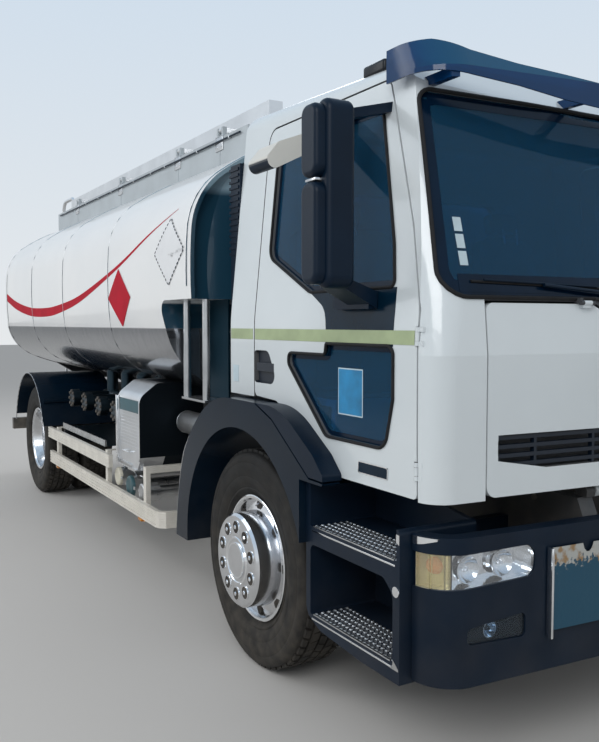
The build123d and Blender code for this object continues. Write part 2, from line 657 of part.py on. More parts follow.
def cab_pieces():
    outer = cab_body(0)
    shell = outer - cab_body(CAB_WALL)
    glass_skin = cab_body(GLASS_INSET) - cab_body(GLASS_INSET + GLASS_THICKNESS)
    flap_skin = outer - cab_body(FLAP_THICKNESS)
    high = 2900
    wide = 1300
    roof_space = block(-500, 1700, -wide, wide, ROOF_SEAM, high)
    roof_space += block(900, 1700, -PILLAR_INNER, PILLAR_INNER, SCREEN_TOP, ROOF_SEAM)
    roof = shell & roof_space
    door_room = grown(DOOR_OUTLINE, SWING_GAP)
    roof = roof - door_room - other_side(door_room)

    back_space = block(CAB_BACK - 10, CAB_BACK + CAB_WALL, -wide, wide, ARCH_EDGE_Z, ROOF_SEAM)
    back = shell & back_space
    back -= slab_x(points_of(REAR_WINDOW), -400, 0, radii_of(REAR_WINDOW))

    side_space = slab_y(
        [(CAB_BACK + CAB_WALL, ARCH_EDGE_Z), (4, ARCH_EDGE_Z), (4, ROOF_SEAM), (CAB_BACK + CAB_WALL, ROOF_SEAM)],
        -wide, 0,
    )
    quarter = shell & side_space

    pillar_space = slab_y(CAB_SIDE_LOW_FRONT, -wide, 0) & block(500, 1700, -wide, 0, CAB_LOW, ROOF_SEAM)
    pillar = shell & pillar_space
    screen_hole = screen_tool()
    pillar -= screen_hole
    pillar -= block(1100, 1700, -PILLAR_INNER, PILLAR_INNER, CAB_LOW - 5, BELT_Z - 10)
    pillar -= block(900, 1700, -PILLAR_INNER, PILLAR_INNER, BELT_Z - 10, high)

    cowl = (shell & block(900, 1700, -PILLAR_INNER, PILLAR_INNER, FLAP_TOP - 42, 2000)) - screen_hole
    cowl -= slab_x([(-FLAP_HALF - 10, 1600), (FLAP_HALF + 10, 1600), (FLAP_HALF + 10, FLAP_TOP + 8),
                    (424, FLAP_TOP + 8), (324, FLAP_TOP - 40), (-324, FLAP_TOP - 40),
                    (-424, FLAP_TOP + 8), (-FLAP_HALF - 10, FLAP_TOP + 8)], 900, 1700)
    behind_flap = cab_body(FIREWALL_INSET) - cab_body(FIREWALL_INSET + FIREWALL_SHEET)
    firewall = behind_flap & block(1100, 1700, -PILLAR_INNER - 100, PILLAR_INNER + 100, FOOTWELL_Z, BELT_Z + 8)
    shelf = (cab_body(CAB_WALL) - cab_body(FIREWALL_INSET + FIREWALL_SHEET)) & block(
        1100, 1700, -PILLAR_INNER, PILLAR_INNER, BELT_Z - 12, BELT_Z + 8)
    cowl = cowl + firewall + shelf

    screen_glass = glass_skin & screen_hole
    rear_glass = block(CAB_BACK + GLASS_INSET, CAB_BACK + GLASS_INSET + GLASS_THICKNESS,
                       -wide, wide, 1800, 2500)
    rear_glass &= slab_x(points_of(REAR_WINDOW), -400, 0, radii_of(REAR_WINDOW))

    door = shell & grown(DOOR_OUTLINE, 0)
    window_tool = grown(WINDOW_OUTLINE, 0)
    kerb_tool = grown(KERB_OUTLINE, 0)
    recess = slab_y(points_of(HANDLE_RECESS), -wide, 22 - CAB_HALF, radii_of(HANDLE_RECESS))
    door = door - window_tool - recess
    door += slab_y([(30, 1424), (215, 1424), (200, 1462), (30, 1462)], -CAB_HALF + 2, -CAB_HALF + 10, [6, 6, 6, 6])
    door += block(90, 120, -CAB_HALF + 4, -CAB_HALF + 30, 1430, 1456)
    for z in DOOR_HINGES_Z:
        eye, lugs, eye_room, lug_room = door_hinge(z)
        door = door - lug_room + eye
        pillar = pillar - eye_room + lugs
    right_door = door - kerb_tool
    pane = glass_skin & window_tool
    kerb_pane = glass_skin & kerb_tool

    grille_tool = front_tool(GRILLE_POINTS)
    flap = (flap_skin & front_tool(FLAP_POINTS)) - grille_tool
    mesh_skin = (cab_body(12) - cab_body(FLAP_THICKNESS)) & grille_tool
    for z in SLAT_ROWS:
        flap += mesh_skin & block(1100, 1700, -FLAP_HALF, FLAP_HALF, z, z + 14)
    for y in RIB_ROWS:
        flap += mesh_skin & block(1100, 1700, y - 6, y + 6, 1100, 1300)
    for y in (-FLAP_HINGE_Y, FLAP_HINGE_Y):
        eye, lugs, eye_room, lug_room = flap_hinge(y)
        flap = flap - lug_room + eye
        cowl = cowl - eye_room + lugs
    return {
        "roof": roof, "back": back, "quarter": quarter, "pillar": pillar, "cowl": cowl,
        "screen_glass": screen_glass, "rear_glass": rear_glass, "right_door": right_door,
        "left_door": other_side(door), "pane": pane, "kerb_pane": kerb_pane, "flap": flap,
    }


SEAT_MID = 560
DASH_TOP = 1772
TUNNEL_HALF = 350
TUNNEL_TOP = 1262


def cab_floor():
    t = FLOOR_THICKNESS
    reach = 1700
    side = [
        (CAB_BACK + CAB_WALL, DECK_Z - t), (DECK_FRONT - t, DECK_Z - t), (DECK_FRONT - t, FOOTWELL_Z),
        (reach, FOOTWELL_Z), (reach, FOOTWELL_Z + t), (DECK_FRONT, FOOTWELL_Z + t),
        (DECK_FRONT, DECK_Z), (CAB_BACK + CAB_WALL, DECK_Z),
    ]
    inner_half = CAB_HALF - CAB_WALL - SWING_GAP
    room = cab_body(FIREWALL_INSET + FIREWALL_SHEET)
    room += block(CAB_BACK + CAB_WALL, CAB_NOSE_CORNER - 130, -inner_half, inner_half, CAB_LOW, DECK_Z)
    floor = slab_y(side, -inner_half, inner_half)
    floor += block(DECK_FRONT - t, 900, -TUNNEL_HALF - t, TUNNEL_HALF + t, FOOTWELL_Z, TUNNEL_TOP + t)
    floor &= room
    floor -= block(DECK_FRONT - t - 5, 900 - t, -TUNNEL_HALF, TUNNEL_HALF, FOOTWELL_Z - 5, TUNNEL_TOP)
    lug_y = 316
    for middle in (-lug_y, lug_y):
        floor += block(TILT_X - 28, TILT_X + 20, middle - 22, middle + 22, TILT_Z, FOOTWELL_Z)
        floor += rod_y(TILT_X, middle - 22, middle + 22, TILT_Z, 28)
        floor -= rod_y(TILT_X, middle - 30, middle + 30, TILT_Z, TILT_PIN_RADIUS + 0.5)
    return floor


def seats():
    side = [
        # x, z, corner radius
        (60, DECK_Z, 0), (470, DECK_Z, 0), (470, 1545, 0), (545, 1560, 30), (555, 1660, 50), (110, 1640, 30),
        (0, 2150, 40), (-115, 2150, 40), (-30, 1560, 40), (60, 1545, 0),
    ]
    driver = slab_y(points_of(side), SEAT_MID - 235, SEAT_MID + 235, radii_of(side))
    mate = slab_y(points_of(side), -SEAT_MID - 330, -SEAT_MID + 330, radii_of(side))
    rest = slab_y([(-30, 2150), (-118, 2150), (-138, 2290), (-60, 2290)], SEAT_MID - 120, SEAT_MID + 120)
    seat_left = driver + rest
    seat_right = mate + Pos(0, -2 * SEAT_MID, 0) * rest
    return [seat_left, seat_right]


def dashboard():
    side = [
        # x, z, corner radius
        (980, 1450, 40), (1700, 1450, 0), (1700, DASH_TOP, 0), (1010, DASH_TOP, 50), (930, 1690, 40),
        (940, 1560, 30),
    ]
    dash = slab_y(points_of(side), -1066, 1066, radii_of(side))
    dash &= cab_body(FIREWALL_INSET + FIREWALL_SHEET)
    hood = slab_y([(900, 1700), (1000, 1700), (1060, 1850), (960, 1850)], SEAT_MID - 190, SEAT_MID + 190, 20)
    return dash + hood


def steering_wheel():
    centre = (868, SEAT_MID, 1838)
    lean = 32
    place = Pos(from_axle(centre[0]), centre[1], centre[2]) * Rot(0, -lean, 0)
    wheel = place * Torus(215, 15)
    wheel += place * Pos(0, 0, -20) * Cylinder(60, 44)
    wheel += place * Pos(0, 0, -14) * Box(70, 420, 16)
    wheel += place * Pos(100, 0, -14) * Box(200, 60, 16)
    column = place * Pos(0, 0, -100) * Cylinder(30, 160)
    return (wheel + column - dashboard()).solids().sort_by(SortBy.VOLUME)[-1]


VISOR_HALF = 1105
VISOR_CORNER = 1262
VISOR_NOSE = 1392
VISOR_BACK = 998
VISOR_FOLD_Z = 2530
VISOR_SHEET = 7
VISOR_LEAN = 0.5
VISOR_FRONT = [
    # y, z of the upper edge, z of the lower edge
    (-1200, 2632, 2516), (-1050, 2630, 2512), (-930, 2594, 2500), (-743, 2566, 2484), (-540, 2548, 2456),
    (-330, 2526, 2438), (0, 2512, 2420),
]
VISOR_BRACKETS = [-1000, -340, 340, 1000]


def visor_body(inset):
    """Room behind the visor's sheet: upright below the fold and leaning back above it."""
    flat = outline(
        [(from_axle(900), inset - VISOR_HALF), (from_axle(VISOR_CORNER - inset), inset - VISOR_HALF),
         (from_axle(VISOR_NOSE - inset), 0), (from_axle(VISOR_CORNER - inset), VISOR_HALF - inset),
         (from_axle(900), VISOR_HALF - inset)],
        [0, 170 - inset, 2500, 170 - inset, 0],
    )
    drop = extrude(Plane.XY.offset(2400) * flat, amount=VISOR_FOLD_Z - 2400)
    lean = Vector(-VISOR_LEAN, 0, 1)
    rise = extrude(Plane.XY.offset(VISOR_FOLD_Z) * flat, amount=120 * lean.length, dir=lean.normalized())
    return drop + rise


def sun_visor():
    room = visor_body(VISOR_SHEET)
    upper = [(y, top) for y, top, low in VISOR_FRONT] + [(-y, top) for y, top, low in VISOR_FRONT[-2::-1]]
    lower = [(y, low) for y, top, low in VISOR_FRONT] + [(-y, low) for y, top, low in VISOR_FRONT[-2::-1]]
    band = slab_x(lower + upper[::-1], VISOR_BACK, 1700)
    visor = (visor_body(0) - room) & band
    gap = room - cab_body(-SEAT_GAP)
    for y in VISOR_BRACKETS:
        visor += gap & block(1050, 1700, y - 14, y + 14, 2490, 2524)
    return visor


def intake_stack():
    front_x = CAB_BACK - SEAT_GAP
    stack = block(front_x - 110, front_x, -1095, -900, 1560, 2440)
    louvres = [block(front_x - 120, front_x - 15, -1100, -1080, z, z + 14) for z in range(1990, 2430, 30)]
    stack += fuse(*louvres)
    return stack


MIRROR_HEADS = [
    # x0, x1, y0, y1, z0, z1, corner radius, edge radius: carrier, wide mirror, main mirror
    (985, 1076, -1400, -1285, 1766, 2420, 44, 22),
    (948, 1058, -1440, -1310, 2150, 2402, 40, 20),
    (948, 1058, -1440, -1310, 1780, 2134, 40, 20),
]
MIRROR_ARM_LOW = [(-CAB_HALF, 1700), (-1300, 1776), (-1300, 1816), (-CAB_HALF, 1762)]
MIRROR_ARM_HIGH = [(-1040, 2430), (-1320, 2360), (-1320, 2395), (-1040, 2466)]
KERB_MIRROR_CAP = [
    # y, z, corner radius
    (-1040, 2415, 0), (-1440, 2215, 30), (-1450, 2270, 20), (-1400, 2330, 40), (-1040, 2468, 0),
]


def mirror_head(x0, x1, y0, y1, z0, z1, corner, edge):
    head = slab_y([(x0, z0), (x1, z0), (x1, z1), (x0, z1)], y0, y1, corner)
    rims = head.edges().filter_by(lambda item: abs(item.center().Y - y0) < 1 or abs(item.center().Y - y1) < 1)
    return fillet(rims, radius=edge)


def mirror_right():
    heads = [mirror_head(*row) for row in MIRROR_HEADS]
    low_arm = slab_x(MIRROR_ARM_LOW, 860, 1010)
    low_arm += block(760, 1000, -1180, -1120, 1698, 1764)
    high_arm = slab_x(MIRROR_ARM_HIGH, 935, 985) + block(935, 1010, -1335, -1300, 2340, 2395)
    return fuse(*heads, low_arm, high_arm) - cab_body(-SEAT_GAP)


def kerb_mirror():
    cap = slab_x(points_of(KERB_MIRROR_CAP), 560, 720, radii_of(KERB_MIRROR_CAP))
    return cap - cab_body(-SEAT_GAP)


# Bumper, lamps, steps and mudguards

NOSE_RADIUS = 6000
NOSE_ANGLE = math.atan((FRONT_OVERHANG - BUMPER_CORNER) / BUMPER_HALF)
NOSE_TIP = FRONT_OVERHANG + NOSE_RADIUS * (1 / math.cos(NOSE_ANGLE) - 1)


def bumper_body(inset):
    flat = outline(
        [(from_axle(500), inset - BUMPER_HALF), (from_axle(BUMPER_CORNER - inset), inset - BUMPER_HALF),
         (from_axle(NOSE_TIP - inset), 0), (from_axle(BUMPER_CORNER - inset), BUMPER_HALF - inset),
         (from_axle(500), BUMPER_HALF - inset)],
        [0, 150 - inset, NOSE_RADIUS, 150 - inset, 0],
    )
    return extrude(Plane.XY.offset(BUMPER_LOW) * flat, amount=BUMPER_TOP - BUMPER_LOW)


LAMP_SPACE = [
    # y, z, corner radius
    (-1300, LAMP_LOW, 0), (-745, LAMP_LOW + 22, 40), (-730, LAMP_TOP, 50), (-1300, LAMP_TOP - 10, 0),
]
FOG_SPACE = [
    # y, z, corner radius
    (-1035, 548, 20), (-780, 540, 20), (-780, 628, 20), (-1035, 605, 20),
]


def front_bumper():
    band = bumper_body(0) - bumper_body(BUMPER_WALL)
    band &= block(BUMPER_SEAM, 1700, -1300, 1300, BUMPER_LOW, BUMPER_TOP)
    hollow = bumper_body(0) & slab_x(points_of(LAMP_SPACE), BUMPER_SEAM - 60, 1700, radii_of(LAMP_SPACE))
    band -= hollow
    band -= other_side(hollow)
    fog = (bumper_body(0) - bumper_body(35)) & slab_x(points_of(FOG_SPACE), 1200, 1700, radii_of(FOG_SPACE))
    band -= fog
    band -= other_side(fog)
    band -= block(1200, 1700, -560, 560, 640, 715)
    inner = bumper_body(BUMPER_WALL)
    for y in (-RAIL_HALF, RAIL_HALF - RAIL_FLANGE):
        band += (inner & block(RAIL_NOSE, 1500, y, y + RAIL_FLANGE, RAIL_BOTTOM, RAIL_TOP - 90))
    return band


def lamp_units():
    inset = 6
    lamp = (bumper_body(inset) - bumper_body(BUMPER_WALL - 4)) & slab_x(
        [(-1300, LAMP_LOW + SEAT_GAP), (-747, LAMP_LOW + 22 + SEAT_GAP), (-732, LAMP_TOP - SEAT_GAP),
         (-1300, LAMP_TOP - 10 - SEAT_GAP)], BUMPER_SEAM + 12, 1700, [0, 40, 50, 0])
    turn_side = block(1000, 1308, -1300, -900, 600, 1000)
    clear_side = block(1312, 1700, -1300, 0, 600, 1000)
    indicator = lamp & turn_side
    head = lamp & clear_side
    fog = (bumper_body(8) - bumper_body(35 - SEAT_GAP)) & slab_x(
        [(-1034.7, 548.3), (-780.3, 540.3), (-780.3, 627.7), (-1034.7, 604.7)], 1200, 1700, 20)
    return both(indicator) + both(head) + both(fog)


def entry_steps():
    """Step box under the door with two treads, open to the outside."""
    front = BUMPER_SEAM - 6
    side = [
        # x, z, corner radius
        (STEP_BACK, 452, 60), (700, 405, 120), (1000, 385, 200), (front, 385, 0), (front, 930, 20),
        (STEP_BACK + 120, 1000, 60), (STEP_BACK, 1000, 20),
    ]
    body = slab_y(points_of(side), -STEP_HALF, -STEP_INNER, radii_of(side))
    low_well = [
        # x, z, corner radius
        (STEP_BACK + 34, TREAD_LOW_Z + 14, 10), (front - 40, TREAD_LOW_Z + 14, 10), (front - 40, 700, 60),
        (front - 100, TREAD_HIGH_Z - 60, 40), (STEP_BACK + 34, TREAD_HIGH_Z - 60, 30),
    ]
    high_well = [
        # x, z, corner radius
        (STEP_BACK + 34, TREAD_HIGH_Z + 14, 10), (front - 20, TREAD_HIGH_Z + 14, 10), (front - 20, 1100, 0),
        (STEP_BACK + 34, 1100, 0),
    ]
    body -= slab_y(points_of(low_well), -STEP_HALF - 5, -STEP_INNER - 20, radii_of(low_well))
    body -= slab_y(points_of(high_well), -STEP_HALF - 5, -STEP_INNER - 20, radii_of(high_well))
    arms = [block(x, x + 50, -STEP_INNER, -RAIL_HALF, RAIL_BOTTOM + 60, RAIL_BOTTOM + 120) for x in (900, 1130)]
    return body + fuse(*arms)


MUDGUARD_OUTLINE = [
    # x, z, corner radius
    (-800, 470, 10), (-766, 690, 900), (-690, 930, 650), (-560, 1090, 650), (-300, 1288, 600), (420, 1288, 480),
    (700, 1120, 120), (775, 1050, 20), (775, 1008, 10), (STEP_BACK, 1008, 0), (STEP_BACK, 470, 0),
]
DOOR_EDGE = [
    # x, z: just below the door's lower edge, where the lip on the door starts
    (190, 1290), (352, 1232), (668, 1028), (900, 1024),
]


def arch_space(radius):
    """Wheel space under the mudguard: a round top with straight sides."""
    round_top = rod_y(0, -1350, -750, AXLE_Z, radius)
    return round_top + block(-radius + 35, STEP_BACK - 2, -1350, -750, 300, AXLE_Z)


def front_mudguard():
    body = slab_y(points_of(MUDGUARD_OUTLINE), -MUDGUARD_HALF, -870, radii_of(MUDGUARD_OUTLINE))
    body -= arch_space(ARCH_RADIUS)
    sill = [
        (-900, 1284), (8, 1284), (225, 1276), (340, 1218), (600, 1030), (640, 1012), (1000, 1006), (1000, 1500),
        (-900, 1500),
    ]
    body -= slab_y(sill, -CAB_HALF - SWING_GAP, -800)
    above = [(x, z - SWING_GAP) for x, z in DOOR_EDGE] + [(900, 1500), (190, 1500)]
    body -= slab_y(above, -1400, -800)
    hollow = slab_y(points_of(MUDGUARD_OUTLINE), -MUDGUARD_HALF + 16, -860, radii_of(MUDGUARD_OUTLINE))
    hollow &= slab_y([(-700, 520), (-700, 880), (-540, 1090), (-300, 1250), (8, 1250), (215, 1242), (330, 1190),
                      (560, 1020), (560, 520)], -MUDGUARD_HALF + 16, -860)
    hollow -= arch_space(ARCH_RADIUS + 14)
    arm = block(-690, -650, -880, -RAIL_HALF, 800, 850)
    return body - hollow + arm


def door_lip():
    """Upper front of the wheel arch, carried by the door and swinging with it."""
    lip = slab_y(points_of(MUDGUARD_OUTLINE), -MUDGUARD_HALF, -CAB_HALF - SEAT_GAP, radii_of(MUDGUARD_OUTLINE))
    return lip & slab_y(DOOR_EDGE + [(900, 1500), (190, 1500)], -1400, -800)


def rear_mudguard():
    centre = Pos(from_axle(-WHEELBASE), -900, AXLE_Z) * Rot(90, 0, 0)
    ring = centre * Cylinder(648, 680) - centre * Cylinder(640, 700)
    ring &= block(-WHEELBASE - 700, -WHEELBASE + 700, -MUDGUARD_HALF, -560, AXLE_Z + 190, 1300)
    for angle in (38, 142):
        place = 662
        x = -WHEELBASE + place * math.cos(math.radians(angle))
        z = AXLE_Z + place * math.sin(math.radians(angle))
        ring += rod_y(x, -MUDGUARD_HALF + 30, -RAIL_HALF, z, 18)
    return ring


# Tank

def tank_section(inset):
    """Tank outline in (Y, Z): two side arcs, a crown arc and a belly arc with rounded shoulders."""
    side = TANK_SIDE_RADIUS
    shift = side - TANK_HALF
    with BuildSketch() as sketch:
        with Locations((shift, TANK_MID_Z)):
            Circle(side - inset)
        with Locations((-shift, TANK_MID_Z)):
            Circle(side - inset, mode=Mode.INTERSECT)
        with Locations((0, TANK_TOP_Z - TANK_TOP_RADIUS)):
            Circle(TANK_TOP_RADIUS - inset, mode=Mode.INTERSECT)
        with Locations((0, TANK_LOW_Z + TANK_LOW_RADIUS)):
            Circle(TANK_LOW_RADIUS - inset, mode=Mode.INTERSECT)
        fillet(sketch.vertices(), radius=TANK_SHOULDER_RADIUS - inset)
    return sketch.sketch


def tank_prism(inset, x0, x1):
    base = Plane((from_axle(x0), 0, 0), x_dir=(0, 1, 0), z_dir=(1, 0, 0))
    return extrude(base * tank_section(inset), amount=x1 - x0)


HEAD_RADIUS = 4600
NICHE_BACK = -1030
NICHE_TOP = 1775
NICHE_DEPTH = 470


def tank_head(x, direction):
    """Dished head that bulges out of the shell's end."""
    depth = HEAD_BULGE
    inset = TANK_SHEET
    span = sorted((x, x + direction * depth))
    prism = tank_prism(inset, span[0], span[1])
    ball = Pos(from_axle(x + direction * (depth - HEAD_RADIUS)), 0, TANK_MID_Z) * Sphere(HEAD_RADIUS)
    return prism & ball


def tank_barrel():
    front = TANK_FRONT - TANK_LIP
    rear = TANK_REAR + TANK_LIP
    barrel = tank_prism(0, rear, front)
    lip_front = tank_prism(0, front, TANK_FRONT) - tank_prism(TANK_SHEET, front, TANK_FRONT)
    lip_rear = tank_prism(0, TANK_REAR, rear) - tank_prism(TANK_SHEET, TANK_REAR, rear)
    tank = barrel + lip_front + lip_rear + tank_head(front, 1) + tank_head(rear, -1)
    flat_half = COAMING_HALF - COAMING_SHEET
    tank -= block(-7000, 0, -flat_half, flat_half, DECK_TOP_Z, 3000)
    niche = [
        # x, z, corner radius
        (NICHE_BACK, NICHE_TOP, 60), (0, NICHE_TOP, 0), (0, 900, 0), (-955, 900, 0), (-955, 1600, 200),
    ]
    tank -= slab_y(points_of(niche), -1400, -TANK_HALF + NICHE_DEPTH, radii_of(niche))
    return tank


SADDLES = [-1250, -2450, -3720, -5540]


def tank_saddles():
    items = []
    for y in (-RAIL_HALF, RAIL_HALF - RAIL_FLANGE):
        bearer = block(TANK_REAR + 120, -720, y, y + RAIL_FLANGE, RAIL_TOP, RAIL_TOP + 70)
        items.append(bearer)
    for x in SADDLES:
        plate = slab_x([(-RAIL_HALF - 60, RAIL_TOP + 70), (RAIL_HALF + 60, RAIL_TOP + 70), (880, 1290), (-880, 1290)],
                       x - 35, x + 35)
        items.append(plate - tank_prism(0, x - 60, x + 60))
    return items


def walkway_coaming():
    outer = block(COAMING_REAR, COAMING_FRONT, -COAMING_HALF, COAMING_HALF, 2560, COAMING_TOP)
    inner = block(COAMING_REAR + COAMING_SHEET, COAMING_FRONT - COAMING_SHEET,
                  COAMING_SHEET - COAMING_HALF, COAMING_HALF - COAMING_SHEET, 2500, COAMING_TOP + 10)
    ring = outer - inner
    ring -= tank_prism(0, TANK_REAR, TANK_FRONT) - block(
        -7000, 0, COAMING_SHEET - COAMING_HALF, COAMING_HALF - COAMING_SHEET, DECK_TOP_Z, 3000)
    return ring


RAIL_POSTS = [-4660, -3280, -1975, -1267]
RAIL_HINGE_Y = -735
RAIL_HINGE_Z = 2845


def hinge_blocks():
    items = []
    for x in RAIL_POSTS:
        items.append(block(x - 45, x - 25, RAIL_HINGE_Y - 15, RAIL_HINGE_Y + 13, COAMING_TOP, RAIL_HINGE_Z + 14))
        items.append(block(x + 25, x + 45, RAIL_HINGE_Y - 15, RAIL_HINGE_Y + 13, COAMING_TOP, RAIL_HINGE_Z + 14))
        items.append(rod_x(x - 35, x + 35, RAIL_HINGE_Y, RAIL_HINGE_Z, 7))
    return fuse(*items)


def handrail():
    low = RAIL_HINGE_Z - 14
    high = RAIL_HINGE_Z + 14
    posts = []
    for x in RAIL_POSTS:
        post = block(x - 20, x + 20, RAIL_HINGE_Y, 220, low, high)
        post += rod_x(x - 20, x + 20, RAIL_HINGE_Y, RAIL_HINGE_Z, 14)
        post -= rod_x(x - 30, x + 30, RAIL_HINGE_Y, RAIL_HINGE_Z, 7.5)
        posts.append(post)
    rails = [
        block(-5450, -870, -610, -520, high, 2958),
        block(-5450, -870, -160, -120, high, high + 40),
        block(-5450, -870, 180, 230, high, high + 50),
    ]
    return fuse(*posts, *rails)


LIDS = [-1620, -2620, -3950, -4960]


def manhole_lids():
    items = []
    for x in LIDS:
        neck = rod_z(x, 0, DECK_TOP_Z, DECK_TOP_Z + 60, 260)
        neck += rod_z(x, 0, DECK_TOP_Z + 60, DECK_TOP_Z + 84, 285)
        neck += rod_z(x, 90, DECK_TOP_Z + 84, DECK_TOP_Z + 120, 110)
        neck += rod_z(x, -130, DECK_TOP_Z + 84, DECK_TOP_Z + 110, 60)
        items.append(neck)
    return items


LADDER_Y = (-560, -200)
LADDER_X = REAR_END + 22


def rear_ladder():
    items = []
    for y in LADDER_Y:
        items.append(bent_tube(
            [(LADDER_X, y, 640), (LADDER_X, y, 3000), (-5500, y, 3000), (-5500, y, COAMING_TOP + 40)], 18, 120))
        items.append(rod_z(-5500, y, DECK_TOP_Z, COAMING_TOP + 60, 18))
        for z in (1400, 2300):
            items.append(rod_x(LADDER_X, TANK_REAR + 20, y, z, 14))
    for index in range(7):
        items.append(rod_y(LADDER_X, LADDER_Y[0], LADDER_Y[1], 720 + 300 * index, 14))
    ladder = fuse(*items)
    return ladder - tank_prism(0, TANK_REAR, TANK_REAR + 400) - tank_head(TANK_REAR + TANK_LIP, -1)


# Fittings between the tank and the road, on the right

NICHE_FLOOR = 1228
NICHE_PIPES = [-622, -898]
NICHE_PLATE_Y = -1010


def niche_pipes():
    """Floor plate, back plate and two upright pipes in the niche."""
    wall = NICHE_DEPTH - TANK_HALF - SEAT_GAP
    foot = block(-925, -590, -1150, wall, NICHE_FLOOR - 12, NICHE_FLOOR)
    back = block(-925, -590, NICHE_PLATE_Y, NICHE_PLATE_Y + 10, NICHE_FLOOR + SEAT_GAP, NICHE_TOP)
    tubes = [rod_z(x, -1125, NICHE_FLOOR + SEAT_GAP, NICHE_TOP, 22) for x in NICHE_PIPES]
    return [foot, back] + tubes


CABINET_BACK = -1985
CABINET_FRONT = -1530


def meter_cabinet():
    section = [
        # y, z, corner radius
        (-1200, 690, 0), (-760, 690, 0), (-760, 1262, 0), (-1080, 1262, 60), (-1200, 1170, 90),
    ]
    case = slab_x(points_of(section), CABINET_BACK, CABINET_FRONT, radii_of(section))
    face = slab_x([(-1230, 700), (-1192, 700), (-1192, 1150), (-1230, 1150)], CABINET_BACK + 22, CABINET_FRONT - 22)
    case -= face
    case -= slab_y([(CABINET_FRONT - 150, 600), (CABINET_FRONT + 10, 600), (CABINET_FRONT + 10, 800)], -1300, -700)
    case += block(-1800, -1720, -760, -RAIL_HALF, 830, 900)
    return case - tank_prism(-SEAT_GAP, CABINET_BACK - 50, CABINET_FRONT + 50)


OUTLETS = [-3550, -3150, -2750, -2350]
OUTLET_Z = 1010
OUTLET_FLANGE = 74


def outlet_pipework():
    items = []
    rows = [
        # x, height of the coupling's middle, radius
        (-2100, 575, 62), (-1840, 550, 70), (-1590, 550, 60),
    ]
    for x, z, radius in rows:
        pipe = rod_y(x, -1130, -560, z, radius * 0.62)
        pipe += rod_y(x, -1150, -1060, z, radius)
        pipe += rod_z(x, -600, z, 800, radius * 0.6)
        pipe += block(x - 40, x + 40, -640, -RAIL_HALF, 770, 830)
        items.append(pipe)
    manifold = rod_x(-3700, -2150, -760, OUTLET_Z, 60)
    for x in OUTLETS:
        manifold += rod_z(x, -760, OUTLET_Z, 1330, 48)
        manifold += rod_y(x, -1060, -760, OUTLET_Z, 52)
        manifold += rod_y(x, -1115, -1055, OUTLET_Z, OUTLET_FLANGE)
    manifold -= tank_prism(-SEAT_GAP, -3900, -2000)
    items.append(manifold)
    return items


def drip_tray():
    section = [(-1165, 742), (-600, 742), (-600, 850), (-612, 850), (-612, 754), (-1153, 754), (-1153, 790),
               (-1165, 790)]
    tray = slab_x(section, -3670, -2420)
    for x in (-3500, -2650):
        tray += block(x - 25, x + 25, -600, -RAIL_HALF, 790, 840)
    return tray


def side_guards():
    """Grooved rails between the wheels with their brackets to the frame."""
    section_low = [(-1225, 420), (-1195, 420), (-1195, 520), (-1225, 520)]
    section_high = [(-1225, 635), (-1195, 635), (-1195, 725), (-1225, 725)]
    low = slab_x(section_low, -3910, -1190)
    low += slab_z([(-1190, -1225), (-1150, -1215), (-1120, -1180), (-1112, -1110), (-1142, -1110), (-1150, -1165),
                   (-1170, -1188), (-1190, -1195)], 420, 520)
    high = slab_x(section_high, -3970, -2130)
    for z in (440, 462, 484, 505):
        low -= block(-4000, -1150, -1230, -1221, z - 4, z + 4)
    for z in (655, 680, 705):
        high -= block(-4000, -2000, -1230, -1221, z - 4, z + 4)
    for x in (-3750, -2280):
        arm = block(x - 25, x + 25, -1195, -RAIL_HALF, 735, 741)
        arm += block(x - 25, x + 25, -1195, -1165, 430, 741)
        low += arm
    low += block(-1480, -1430, -1195, -1165, 430, 700)
    low += block(-1480, -1430, -1195, -RAIL_HALF, 700, 741)
    return low + high


def left_guards():
    guard = slab_x([(1195, 420), (1225, 420), (1225, 520), (1195, 520)], -3910, -2200)
    guard += slab_x([(1195, 635), (1225, 635), (1225, 725), (1195, 725)], -3910, -2200)
    for x in (-3750, -2400):
        guard += block(x - 25, x + 25, RAIL_HALF, 1195, 735, 741)
        guard += block(x - 25, x + 25, 1165, 1195, 430, 741)
    return guard


def fuel_and_air_tanks():
    fuel = slab_x([(490, 440), (1150, 440), (1150, 1020), (490, 1020)], -2080, -980, [60, 180, 180, 60])
    for x in (-1900, -1200):
        fuel += block(x - 30, x + 30, RAIL_HALF, 500, 740, 960)
        strap = slab_x([(484, 434), (1156, 434), (1156, 1026), (484, 1026)], x - 25, x + 25, [60, 184, 184, 60])
        fuel += strap
    air = []
    for y, z in ((-610, 600), (-610, 870)):
        tank = rod_x(-1400, -960, y, z, 122)
        low = max(z - 30, 690)
        tank += block(-1250, -1200, -560, -RAIL_HALF, low, low + 70)
        air.append(tank)
    canister = rod_x(-1480, -1060, -900, 1010, 72)
    canister += block(-1290, -1250, -900, -RAIL_HALF, 940, 965)
    return [fuel, air[0], air[1] + canister]


def rear_bumper():
    bar = slab_x([(-1160, 480), (1160, 480), (1160, 600), (-1160, 600)], REAR_END, REAR_END + 70)
    for y in (-RAIL_HALF, RAIL_HALF - RAIL_FLANGE):
        bar += block(REAR_END + 42, REAR_END + 70, y, y + RAIL_FLANGE, 600, RAIL_TOP)
        bar += block(REAR_END + 70, REAR_END + 80, y, y + RAIL_FLANGE, RAIL_BOTTOM, RAIL_TOP)
    return bar


def tail_lamps():
    lamp = slab_x([(-1150, 600), (-830, 600), (-830, 730), (-1150, 730)], REAR_END + 8, REAR_END + 66, 12)
    return both(lamp)


